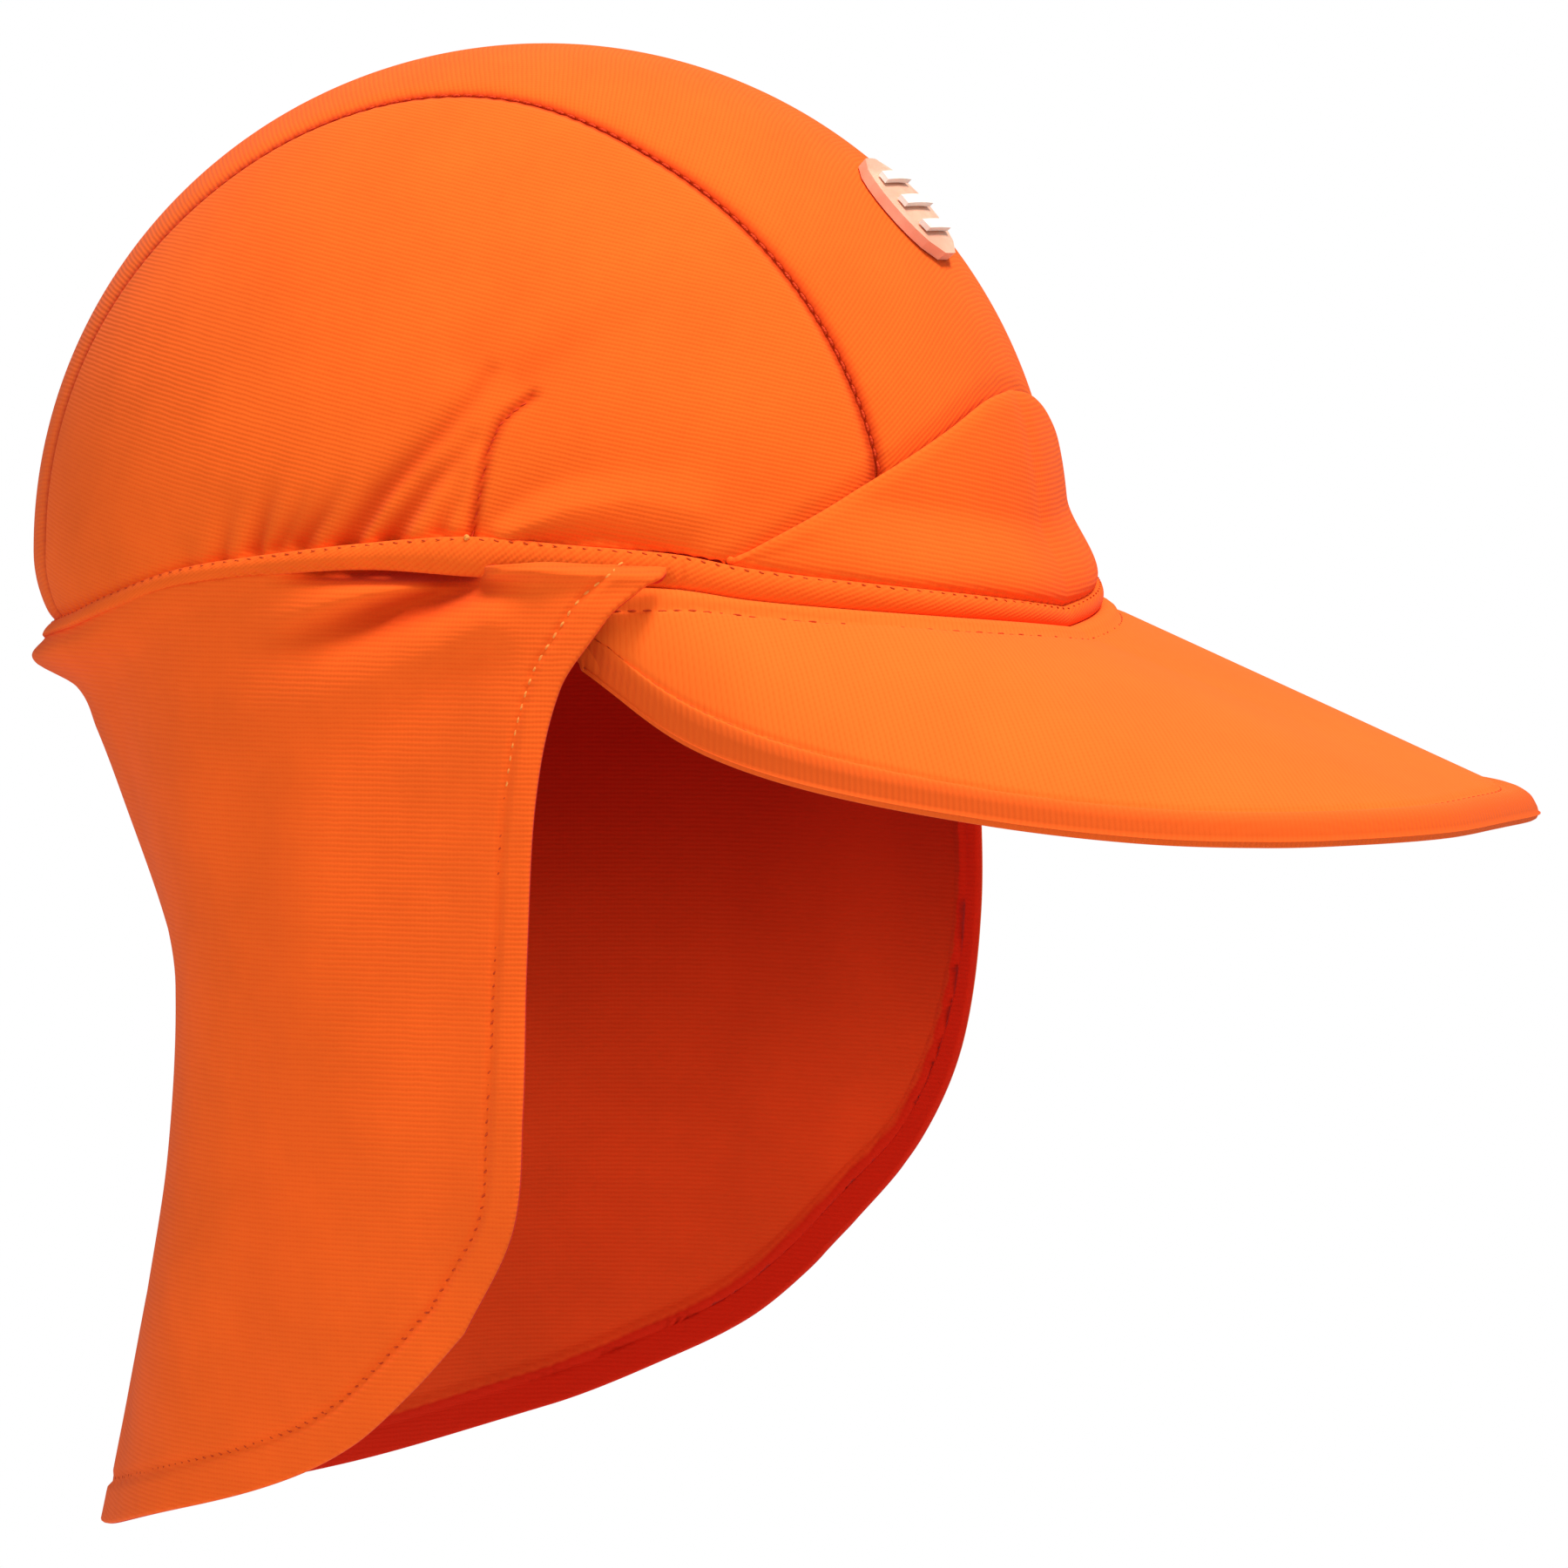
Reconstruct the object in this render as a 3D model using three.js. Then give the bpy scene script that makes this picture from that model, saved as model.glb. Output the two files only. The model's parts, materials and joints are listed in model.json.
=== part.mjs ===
// A child's legionnaire sun cap in stretch knit: a dome crown of two side panels and a centre panel, a pointed
// forehead panel, a narrow headband, a peak with a rolled edge, a hemmed neck flap and a small moulded badge.
// Millimetres, +Z up. The wearer looks along -Y, and the wearer's right side is -X.
// The origin is the middle of the head opening, at the level of the brow.
import * as THREE from "three";

// Crown: half sizes at its widest level, and the way it draws in below that level
const headHalfLength = 85.8;
const headHalfWidth = 73;
const widestBehind = 8;
const widestLevel = 9.5;
const crownHeight = 83;
const tuckDepth = 42;
const centreHalfWidth = 33;

// Cloth
const clothWall = 1.6;
const hemFold = 1.2;
const seamGap = 0.3;
const seamRoom = 0.85;
const foldDepth = 1.5;
const gatherFade = 0.6;

// Forehead panel: how far it reaches up and round, how proud it sits and how it flares over the peak
const foreheadRise = 34.7;
const foreheadHalfAngle = 42.5;
const foreheadProud = 1.9;
const browFlare = 5.2;
const flareHeight = 14.5;
const foreheadFade = [0.5, 1.05];

// Headband
const bandRise = 14.3;
const bandHeight = 5;
const bandWall = 2.2;
const bandProud = 0.8;

// Peak: its reach is from the brow to its front edge, and its edge channel is the rolled rim
const peakReach = 74.5;
const peakHalfWidth = 68;
const peakDrop = 30.5;
const peakHalfAngle = 63;
const peakWall = 2.8;
const edgeWall = 4.8;
const edgeChannel = 7;
const peakArch = 0.6;
const channelShare = 0.4;
const rimSwell = 0.6;
const rimBlunt = 0.02;

// Neck flap: its drop is measured at the back, below the headband
const flapDrop = 149;
const flapHalfWidth = 75;
const flapHalfLength = 84;
const rollShare = 0.035;
const sideRoundness = 0.5;
const lapAngles = [2, 14];
const foldFade = 0.12;
const hemWidth = 7.5;

// Badge on the front of the crown
const badgeHalfLength = 10;
const badgeHalfWidth = 7;
const badgeWall = 1.8;
const badgeRise = 65;
const badgeRound = 0.96;
const ribPlaces = [-0.5, 0, 0.5];
const ribHalfWidth = 0.9;
const ribHeight = 0.9;
const ribLength = 0.7;

// Grid steps of the sheets
const sideSteps = [34, 12];
const centreSteps = [10, 28];
const foreheadSteps = [22, 5];
const backEdge = 12;
const gatherPlace = 0.33;
const gatherCrowd = 0.055;
const topArch = 90;
const lowestArch = 210;
const archHalvings = 30;
const bandSteps = 72;
const peakSteps = 36;
const peakRows = 5;
const rimRows = [1, 0.6, 0.3, 0.1, 0];
const flapSteps = [38, 10];
const flapTopRows = [0, 0.012, 0.026, 0.045, 0.07, 0.11];
const flapInside = [0.1, 0.16];
const hemPlaces = [0, 0.5, 1, 1.2];
const hemEdge = 0.001;
const badgeSteps = [8, 4];

// Height of the headband's top round one side, as a share of bandRise, and its depth as a share of bandHeight.
// Angles run from the front of the head, in degrees.
const bandLine = [
  { angle: 0, top: 0.13, depth: 0.46 },
  { angle: 10, top: 0.25, depth: 0.52 },
  { angle: 26, top: 0.45, depth: 0.64 },
  { angle: 41, top: 0.66, depth: 0.78 },
  { angle: 49, top: 0.81, depth: 0.85 },
  { angle: 61, top: 0.91, depth: 0.95 },
  { angle: 74, top: 1.0, depth: 1.0 },
  { angle: 87, top: 0.92, depth: 0.6 },
  { angle: 101, top: 0.77, depth: 0.42 },
  { angle: 114, top: 0.59, depth: 0.36 },
  { angle: 126, top: 0.3, depth: 0.32 },
  { angle: 139, top: 0.02, depth: 0.3 },
  { angle: 160, top: -0.2, depth: 0.3 },
  { angle: 180, top: -0.27, depth: 0.3 },
];

// Upper edge of the forehead panel: round is a share of foreheadHalfAngle, rise a share of foreheadRise
const foreheadEdge = [
  { round: 0, rise: 1.0 },
  { round: 0.16, rise: 0.92 },
  { round: 0.35, rise: 0.745 },
  { round: 0.55, rise: 0.54 },
  { round: 0.71, rise: 0.36 },
  { round: 0.86, rise: 0.19 },
  { round: 1, rise: 0.02 },
];

// Half width of the centre panel as a share of centreHalfWidth. The arch angle runs over the crown,
// 0 at the front of the head, 90 at the top and 180 at the back.
const centrePanel = [
  { arch: 0, half: 1.0 },
  { arch: 60, half: 1.03 },
  { arch: 90, half: 0.97 },
  { arch: 130, half: 1.0 },
  { arch: 180, half: 1.1 },
];

// Gathers of a side panel, each a soft valley from its foot at the headband to its head. Heights above the
// headband are shares of crownHeight, widths too, and depth is a share of foldDepth. The first is the dart.
const gathers = [
  { foot: 73.6, footRise: 0.0, head: 70, headRise: 0.25, depth: 0.8, width: 0.026 },
  { foot: 78.5, footRise: 0.17, head: 71.5, headRise: 0.32, depth: 0.6, width: 0.035 },
  { foot: 85, footRise: 0.0, head: 75, headRise: 0.17, depth: 1.0, width: 0.035 },
  { foot: 90.5, footRise: 0.0, head: 79, headRise: 0.19, depth: 0.9, width: 0.04 },
  { foot: 97, footRise: 0.0, head: 91, headRise: 0.15, depth: 0.7, width: 0.04 },
  { foot: 103, footRise: 0.0, head: 99, headRise: 0.17, depth: 0.5, width: 0.045 },
  { foot: 69, footRise: 0.05, head: 51, headRise: 0.14, depth: 0.45, width: 0.055 },
  { foot: 67, footRise: 0.33, head: 49, headRise: 0.48, depth: 0.5, width: 0.08 },
];

// Front rim of the peak: round is the share of the way from the middle to the peak's end, wide, ahead and drop are
// shares of peakHalfWidth, of the rim's distance before the middle of the head, and of peakDrop
const peakRim = [
  { round: 0, wide: 0, ahead: 1, drop: 0.98 },
  { round: 0.13, wide: 0.294, ahead: 0.992, drop: 0.985 },
  { round: 0.26, wide: 0.535, ahead: 0.945, drop: 0.99 },
  { round: 0.39, wide: 0.72, ahead: 0.875, drop: 0.99 },
  { round: 0.52, wide: 0.855, ahead: 0.77, drop: 0.965 },
  { round: 0.65, wide: 0.94, ahead: 0.63, drop: 0.885 },
  { round: 0.79, wide: 0.98, ahead: 0.455, drop: 0.73 },
  { round: 0.88, wide: 0.96, ahead: 0.335, drop: 0.54 },
  { round: 1, wide: 0.915, ahead: 0.22, drop: 0.18 },
];

// Shape of the flap on its way down: down is a share of flapDrop, side and back are shares of flapHalfWidth and
// flapHalfLength. It rolls out behind, just below the headband, and then falls in towards the neck.
const flapLevels = [
  { down: 0, side: 0.98, back: 0.99 },
  { down: 0.014, side: 0.985, back: 1.05 },
  { down: 0.03, side: 0.99, back: 1.02 },
  { down: 0.054, side: 1.0, back: 0.92 },
  { down: 0.1, side: 1.005, back: 0.87 },
  { down: 0.17, side: 1.01, back: 0.81 },
  { down: 0.31, side: 1.015, back: 0.705 },
  { down: 0.4, side: 1.02, back: 0.665 },
  { down: 0.58, side: 1.02, back: 0.69 },
  { down: 0.74, side: 1.01, back: 0.765 },
  { down: 1, side: 0.98, back: 0.885 },
];

// Front edges of the flap: down is the share of the way to the lower corner, right and left are the angles from
// the front on the wearer's right and left, because the flap hangs a little turned
const flapEdge = [
  { down: 0, right: 51, left: 51 },
  { down: 0.06, right: 57, left: 53.5 },
  { down: 0.13, right: 61.5, left: 54 },
  { down: 0.28, right: 64.5, left: 52 },
  { down: 0.5, right: 65.5, left: 50.5 },
  { down: 0.7, right: 66, left: 54.5 },
  { down: 0.86, right: 67.5, left: 62 },
  { down: 1, right: 74, left: 73 },
];

// Lower hem of the flap, from its front corner to the middle of the back. right and left are its depth below the
// level of the brow on the wearer's right and left, as shares of flapDrop.
const flapHem = [
  { round: 0, right: 0.73, left: 0.73 },
  { round: 0.06, right: 0.79, left: 0.785 },
  { round: 0.14, right: 0.855, left: 0.845 },
  { round: 0.24, right: 0.9, left: 0.893 },
  { round: 0.4, right: 0.943, left: 0.953 },
  { round: 0.66, right: 0.994, left: 1.008 },
  { round: 1, right: 1.03, left: 1.03 },
];

// Soft folds of the flap by their angle from the front, wearer's right negative. from and to are shares of the
// way down, depth a share of foldDepth, outwards where it is positive, and width an angle.
const flapFolds = [
  { angle: -128, from: 0.1, to: 1.1, depth: 1.1, width: 13 },
  { angle: -100, from: 0.2, to: 1.1, depth: -0.9, width: 12 },
  { angle: -82, from: -0.05, to: 0.13, depth: -1.6, width: 9 },
  { angle: 84, from: -0.05, to: 0.15, depth: -1.6, width: 9 },
  { angle: 104, from: 0.2, to: 1.1, depth: -0.9, width: 13 },
  { angle: 132, from: 0.1, to: 1.1, depth: 1.0, width: 13 },
];

const degrees = Math.PI / 180;
const up = new THREE.Vector3(0, 0, 1);

function mix(a, b, share) {
  return a + (b - a) * share;
}

function smoothStep(low, high, value) {
  return THREE.MathUtils.smoothstep(value, low, high);
}

// Reads a column of a table at a value of its key, along a smooth curve through the rows
function readTable(rows, key, column, value) {
  const last = rows.length - 1;
  const at = Math.min(Math.max(value, rows[0][key]), rows[last][key]);
  let i = 0;
  while (i < last - 1 && at > rows[i + 1][key]) i += 1;
  const slope = (a, b) => (rows[b][column] - rows[a][column]) / (rows[b][key] - rows[a][key]);
  const run = rows[i + 1][key] - rows[i][key];
  const start = i > 0 ? slope(i - 1, i + 1) : slope(i, i + 1);
  const end = i < last - 1 ? slope(i, i + 2) : slope(i, i + 1);
  const t = (at - rows[i][key]) / run;
  const a = rows[i][column];
  const b = rows[i + 1][column];
  const cubic = (2 * t - 3) * t * t;
  return a * (cubic + 1) - b * cubic + run * t * (1 - t) * (start * (1 - t) - end * t);
}

// Distance of the crown's outline from the middle, at its widest level: an egg with its blunt end behind
function planRadius(angle) {
  const across = Math.sin(angle) / headHalfWidth;
  let radius = 0;
  for (const half of [headHalfLength + widestBehind, headHalfLength - widestBehind]) {
    const along = Math.cos(angle) / half;
    const a = across * across + along * along;
    const b = (along * widestBehind) / half;
    const c = (widestBehind / half) ** 2 - 1;
    radius = (-b + Math.sqrt(b * b - a * c)) / a;
    if (-radius * Math.cos(angle) <= widestBehind) break;
  }
  return radius;
}

// A point of the crown's outer face by its angle round and its height, moved out by lift
function domeRound(angle, height, lift = 0) {
  const reach = height > widestLevel ? crownHeight : tuckDepth;
  const share = Math.min(1, Math.abs(height - widestLevel) / reach);
  const radius = planRadius(angle) * Math.sqrt(1 - share * share) + lift;
  return new THREE.Vector3(radius * Math.sin(angle), -radius * Math.cos(angle), height);
}

// The point of the crown's outer face in line with a rough point
function ontoDome(rough) {
  const angle = Math.atan2(rough.x, -rough.y);
  const reach = rough.z > widestLevel ? crownHeight : tuckDepth;
  const radius = planRadius(angle);
  const across = Math.hypot(rough.x, rough.y) / radius;
  const above = (rough.z - widestLevel) / reach;
  const size = Math.hypot(across, above);
  const out = (across / size) * radius;
  return new THREE.Vector3(out * Math.sin(angle), -out * Math.cos(angle), widestLevel + (above / size) * reach);
}

// A point of the crown by its arch angle over the top and its distance from the middle plane
function domeArch(arch, side) {
  const inner = Math.sqrt(Math.max(0, 1 - (side / headHalfWidth) ** 2));
  const ahead = headHalfLength * inner * Math.cos(arch);
  const above = crownHeight * inner * Math.sin(arch);
  return ontoDome(new THREE.Vector3(side, -ahead, widestLevel + above));
}

function angleOf(point) {
  return Math.abs(Math.atan2(point.x, -point.y)) / degrees;
}

function bandTop(angle) {
  return bandRise * readTable(bandLine, "angle", "top", angle);
}

function bandBottom(angle) {
  return bandTop(angle) - seamGap - bandHeight * readTable(bandLine, "angle", "depth", angle);
}

function foreheadTop(angle) {
  const round = angle / foreheadHalfAngle;
  return bandTop(angle) + foreheadRise * readTable(foreheadEdge, "round", "rise", round);
}

// How far the forehead panel and what hangs from it stand out from the crown
function browLift(angle, height) {
  const fade = 1 - smoothStep(foreheadFade[0], foreheadFade[1], angle / foreheadHalfAngle);
  const flare = 1 - smoothStep(0, flareHeight, height - bandTop(angle));
  return fade * (foreheadProud + browFlare * flare);
}

// Depth of the gathers at a point of the crown
function gatherDepth(point) {
  const round = angleOf(point) * degrees * headHalfWidth;
  const above = point.z - bandTop(angleOf(point));
  let depth = 0;
  for (const fold of gathers) {
    const footX = fold.foot * degrees * headHalfWidth;
    const headX = fold.head * degrees * headHalfWidth;
    const footY = fold.footRise * crownHeight;
    const headY = fold.headRise * crownHeight;
    const length = (headX - footX) ** 2 + (headY - footY) ** 2;
    const along = ((round - footX) * (headX - footX) + (above - footY) * (headY - footY)) / length;
    const share = Math.min(1, Math.max(0, along));
    const gap = Math.hypot(round - mix(footX, headX, share), above - mix(footY, headY, share));
    depth += fold.depth * foldDepth * (1 - gatherFade * share) * Math.exp(-((gap / (fold.width * crownHeight)) ** 2));
  }
  return depth;
}

// Closed mesh of a sheet. The grid holds its columns of points. outer and inner say how far each face lies from
// them along the sheet's normal, which points to the same side as facing does.
function sheet(grid, facing, outer, inner, closedRound = false) {
  const columns = grid.length;
  const rows = grid[0].length;
  const near = (i) => (closedRound ? (i + columns) % columns : Math.min(columns - 1, Math.max(0, i)));
  const faces = [[], []];
  for (let i = 0; i < columns; i += 1) {
    for (let j = 0; j < rows; j += 1) {
      const point = grid[i][j];
      const round = grid[near(i + 1)][j].clone().sub(grid[near(i - 1)][j]);
      const down = grid[i][Math.min(rows - 1, j + 1)].clone().sub(grid[i][Math.max(0, j - 1)]);
      const normal = round.cross(down).normalize();
      if (normal.dot(facing(point)) < 0) normal.negate();
      faces[0].push(point.clone().addScaledVector(normal, outer(i, j)));
      faces[1].push(point.clone().addScaledVector(normal, -inner(i, j)));
    }
  }
  const index = [];
  const at = (side, i, j) => (side * columns + near(i)) * rows + j;
  const quad = (a, b, c, d) => index.push(a, b, c, a, c, d);
  const spans = closedRound ? columns : columns - 1;
  for (let i = 0; i < spans; i += 1) {
    for (let j = 0; j < rows - 1; j += 1) {
      quad(at(0, i, j), at(0, i, j + 1), at(0, i + 1, j + 1), at(0, i + 1, j));
      quad(at(1, i, j), at(1, i + 1, j), at(1, i + 1, j + 1), at(1, i, j + 1));
    }
    quad(at(0, i, 0), at(0, i + 1, 0), at(1, i + 1, 0), at(1, i, 0));
    quad(at(0, i, rows - 1), at(1, i, rows - 1), at(1, i + 1, rows - 1), at(0, i + 1, rows - 1));
  }
  if (!closedRound) {
    const end = columns - 1;
    for (let j = 0; j < rows - 1; j += 1) {
      quad(at(0, 0, j), at(1, 0, j), at(1, 0, j + 1), at(0, 0, j + 1));
      quad(at(0, end, j), at(0, end, j + 1), at(1, end, j + 1), at(1, end, j));
    }
  }
  return closedSolid([...faces[0], ...faces[1]], index);
}

// Geometry of a closed mesh, with its faces turned outwards
function closedSolid(points, index) {
  let volume = 0;
  for (let k = 0; k < index.length; k += 3) {
    const [a, b, c] = [points[index[k]], points[index[k + 1]], points[index[k + 2]]];
    volume += a.dot(b.clone().cross(c));
  }
  for (let k = 0; volume < 0 && k < index.length; k += 3) {
    [index[k + 1], index[k + 2]] = [index[k + 2], index[k + 1]];
  }
  const geometry = new THREE.BufferGeometry().setFromPoints(points);
  geometry.setIndex(index);
  geometry.computeVertexNormals();
  return geometry;
}

function makeGrid(columnShares, rowShares, pointAt) {
  return columnShares.map((u) => rowShares.map((v) => pointAt(u, v)));
}

function evenly(steps, low = 0, high = 1) {
  return Array.from({ length: steps + 1 }, (_, i) => mix(low, high, i / steps));
}

const fromCrownMiddle = (point) => point.clone().setZ(point.z - widestLevel);
const fromAxis = (point) => point.clone().setZ(0);

// A point of the crown along the line at a share of the centre panel's half width
function archPoint(arch, share) {
  const half = centreHalfWidth * readTable(centrePanel, "arch", "half", arch);
  return domeArch(arch * degrees, half * share);
}

// Arch angle, between low and high, at which that line rises through an edge
function archAt(share, edgeHeight, low, high) {
  let [below, above] = [low, high];
  for (let k = 0; k < archHalvings; k += 1) {
    const middle = (below + above) / 2;
    const point = archPoint(middle, share);
    if (point.z > edgeHeight(angleOf(point))) above = middle;
    else below = middle;
  }
  return (below + above) / 2;
}

const aboveForehead = (angle) => foreheadTop(angle) + seamGap;
const frontArch = (share) => archAt(share, aboveForehead, 0, topArch);
const backArch = (share, rise = 0) => archAt(share, (angle) => bandTop(angle) + rise, lowestArch, topArch);

// Side panel, on the wearer's left where side is 1. Its front edge runs up the forehead panel, its top along the
// seam and its short back edge down the last of the seam. Its columns stand closer where the gathers are.
function sidePanel(side) {
  const share = 1 + seamRoom / centreHalfWidth;
  const tip = foreheadHalfAngle + seamGap / (headHalfWidth * degrees);
  const seamFront = frontArch(share);
  const seamEnd = backArch(share, backEdge);
  const crossing = angleOf(archPoint(seamFront, share));
  const backEnd = angleOf(archPoint(backArch(share), share));
  const wave = (u) => gatherCrowd * Math.sin(2 * Math.PI * (u - gatherPlace));
  const columns = evenly(sideSteps[0]).map((u) => u - wave(u) + wave(0));
  const frontEdge = (v) => {
    const angle = mix(tip, crossing, v);
    return domeRound(angle * degrees, aboveForehead(angle));
  };
  const ruled = (u, v) => {
    const angle = mix(tip, backEnd, u);
    const foot = domeRound(angle * degrees, bandTop(angle));
    return foot.lerp(archPoint(mix(seamFront, seamEnd, u), share), v);
  };
  const grid = makeGrid(columns, evenly(sideSteps[1]), (u, v) => {
    const bend = frontEdge(v).sub(ruled(0, v)).multiplyScalar((1 - u) ** 4);
    const point = ontoDome(ruled(u, v).add(bend));
    point.addScaledVector(fromCrownMiddle(point).normalize(), -gatherDepth(point));
    point.x *= side;
    return point;
  });
  return sheet(grid, fromCrownMiddle, () => 0, () => clothWall);
}

// Centre panel, from the forehead panel's edge over the crown to the headband behind
function centrePanelCloth() {
  const grid = makeGrid(evenly(centreSteps[0], -1, 1), evenly(centreSteps[1]), (u, v) =>
    archPoint(mix(frontArch(u), backArch(u), v), u),
  );
  return sheet(grid, fromCrownMiddle, () => 0, () => clothWall);
}

// Forehead panel, pointed at both ends and highest in the middle, flared where it meets the headband
function foreheadPanel() {
  const grid = makeGrid(evenly(foreheadSteps[0], -1, 1), evenly(foreheadSteps[1]), (u, v) => {
    const angle = Math.abs(u) * foreheadHalfAngle;
    const height = mix(bandTop(angle) + seamGap, foreheadTop(angle), v);
    return domeRound(u * foreheadHalfAngle * degrees, height, browLift(angle, height));
  });
  return sheet(grid, fromCrownMiddle, () => 0, () => clothWall);
}

// The middle of the headband's wall at an angle from the front, wearer's right negative
function bandMiddle(angle, height, out = 0) {
  const size = Math.abs(angle);
  const point = domeRound(angle * degrees, bandTop(size), browLift(size, bandTop(size)));
  const lift = bandProud - bandWall / 2 + out;
  return point.addScaledVector(fromAxis(point).normalize(), lift).setZ(height);
}

function headband() {
  const grid = makeGrid(evenly(bandSteps, -180, 180).slice(1), [0, 1], (angle, v) => {
    const size = Math.abs(angle);
    return bandMiddle(angle, mix(bandTop(size) - seamGap, bandBottom(size), v));
  });
  return sheet(grid, fromAxis, () => bandWall / 2, () => bandWall / 2, true);
}

// Middle surface of the peak: across runs from its root under the headband to its rim
function peakRoot(round) {
  const angle = round * peakHalfAngle;
  return bandMiddle(angle, bandBottom(Math.abs(angle)) - seamGap - peakWall / 2);
}

function peakRimPoint(round) {
  const size = Math.abs(round);
  const ahead = (peakReach - peakRoot(0).y) * readTable(peakRim, "round", "ahead", size);
  const wide = Math.sign(round) * peakHalfWidth * readTable(peakRim, "round", "wide", size);
  return new THREE.Vector3(wide, -ahead, -peakDrop * readTable(peakRim, "round", "drop", size));
}

// Peak: a padded sheet with a rolled rim. Its rows stand close together along the rim.
function peak() {
  const innerRows = evenly(peakRows).slice(0, -1);
  const rounds = evenly(peakSteps, -1, 1);
  const spans = rounds.map((round) => peakRimPoint(round).distanceTo(peakRoot(round)));
  const channels = spans.map((span) => Math.min(edgeChannel, span * channelShare) / span);
  const grid = rounds.map((round, i) => {
    const shares = [...innerRows.map((v) => v * (1 - channels[i])), ...rimRows.map((v) => 1 - v * channels[i])];
    return shares.map((share) => {
      const point = peakRoot(round).lerp(peakRimPoint(round), share);
      return point.setZ(point.z + peakArch * Math.sin(Math.PI * share));
    });
  });
  const halfWalls = [...innerRows.map(() => peakWall / 2), ...rimRows.map((v) => rimHalfWall(v))];
  const half = (i, j) => halfWalls[j];
  return sheet(grid, (point) => fromAxis(point).normalize().add(up), half, half);
}

// Half thickness of the peak's rim: it swells from the channel seam, where share is 1, and rounds off at the edge
function rimHalfWall(share) {
  if (share === 1) return peakWall / 2;
  return (edgeWall / 2) * Math.sqrt(1 - (1 - Math.min(1, share / rimSwell + rimBlunt)) ** 2);
}

// Outer face of the neck flap at an angle from the front, wearer's right negative, and a height
function flapPoint(angle, height) {
  const size = Math.abs(angle);
  const down = (bandBottom(size) - 2 * seamGap - height) / flapDrop;
  const side = flapHalfWidth * readTable(flapLevels, "down", "side", down);
  const back = flapHalfLength * readTable(flapLevels, "down", "back", down);
  const turn = size * degrees;
  const round = 1 / Math.hypot(Math.sin(turn) / side, Math.cos(turn) / back);
  const wall = new THREE.Vector3(round * Math.sin(turn), -round * Math.cos(turn), height);
  if (size < 90) wall.set(side * mix(1, Math.sin(turn), sideRoundness), -flapHalfWidth * Math.cos(turn), height);
  wall.x *= Math.sign(angle);
  const overPeak = 1 - smoothStep(peakHalfAngle + lapAngles[0], peakHalfAngle + lapAngles[1], size);
  const peakLap = edgeWall / 2 + seamGap + clothWall + hemFold;
  const root = bandMiddle(angle, height, mix(clothWall / 2, peakLap, overPeak));
  wall.addScaledVector(fromAxis(wall).normalize(), overPeak * clothWall);
  const point = root.lerp(wall, smoothStep(0, rollShare, down));
  for (const fold of flapFolds) {
    const across = Math.exp(-(((angle - fold.angle) / fold.width) ** 2));
    const begun = smoothStep(fold.from, fold.from + foldFade, down);
    const ended = smoothStep(fold.to - foldFade, fold.to, down);
    const out = foldDepth * fold.depth * across * begun * (1 - ended);
    point.addScaledVector(fromAxis(point).normalize(), out);
  }
  return point;
}

// Neck flap, hemmed on its front edges and along the bottom. u runs round it, from -1 on the wearer's right.
function neckFlap() {
  const hemRound = hemWidth / (flapHalfWidth + flapHalfLength);
  const hemDown = hemWidth / flapDrop;
  const hemColumns = hemPlaces.map((place) => place * hemRound);
  const half = [...hemColumns, ...evenly(flapSteps[0] / 2, flapInside[0], 1)];
  const columns = [...half.map((r) => r - 1), ...half.slice(0, -1).reverse().map((r) => 1 - r)];
  const hemRows = hemPlaces.map((place) => 1 - place * hemDown).reverse();
  const rows = [...flapTopRows, ...evenly(flapSteps[1], flapInside[1], hemRows[0]), ...hemRows.slice(1)];
  const grid = makeGrid(columns, rows, (u, v) => {
    const round = 1 - Math.abs(u);
    const edge = readTable(flapEdge, "down", u < 0 ? "right" : "left", v);
    const size = mix(edge, 180, round);
    const topSize = mix(flapEdge[0].right, 180, round);
    const top = bandBottom(topSize) - 2 * seamGap;
    const hem = -flapDrop * readTable(flapHem, "round", u < 0 ? "right" : "left", round);
    return flapPoint(u < 0 ? -size : size, mix(top, hem, v));
  });
  const inHem = (i) => 1 - Math.abs(columns[i]) < hemRound + hemEdge;
  const hemmed = (i, j) => inHem(i) || 1 - rows[j] < hemDown + hemEdge;
  return sheet(grid, fromAxis, () => 0, (i, j) => clothWall + (hemmed(i, j) ? hemFold : 0));
}

// Badge: a thin oval plate that follows the crown, with plain raised ribs across it
function badgePoint(along, side) {
  const middle = archAt(0, () => badgeRise, 0, topArch);
  return domeArch(middle * degrees + (along * badgeHalfLength) / crownHeight, side);
}

function badgeSheet(low, high, steps, halfWidth, bottom, top) {
  const grid = makeGrid(evenly(steps, low, high), evenly(badgeSteps[1], -1, 1), (u, v) => {
    const width = halfWidth * Math.sqrt(1 - (badgeRound * u) ** 2);
    return badgePoint(u, v * width);
  });
  return sheet(grid, fromCrownMiddle, () => top, () => -bottom);
}

function badgeRib(place) {
  const half = ribHalfWidth / badgeHalfLength;
  const top = 2 * seamGap + badgeWall + ribHeight;
  return badgeSheet(place - half, place + half, 2, badgeHalfWidth * ribLength, top - ribHeight, top);
}

// Names, shapes and finishes
const finish = {
  crown: new THREE.MeshStandardMaterial({ color: "#fb6722", roughness: 0.72, metalness: 0 }),
  peak: new THREE.MeshStandardMaterial({ color: "#ff7a30", roughness: 0.7, metalness: 0 }),
  flap: new THREE.MeshStandardMaterial({ color: "#f05a20", roughness: 0.74, metalness: 0 }),
  plate: new THREE.MeshStandardMaterial({ color: "#f2b9a8", roughness: 0.35, metalness: 0 }),
  rib: new THREE.MeshStandardMaterial({ color: "#f4f1ec", roughness: 0.4, metalness: 0 }),
};

const cap = new THREE.Group();

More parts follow.
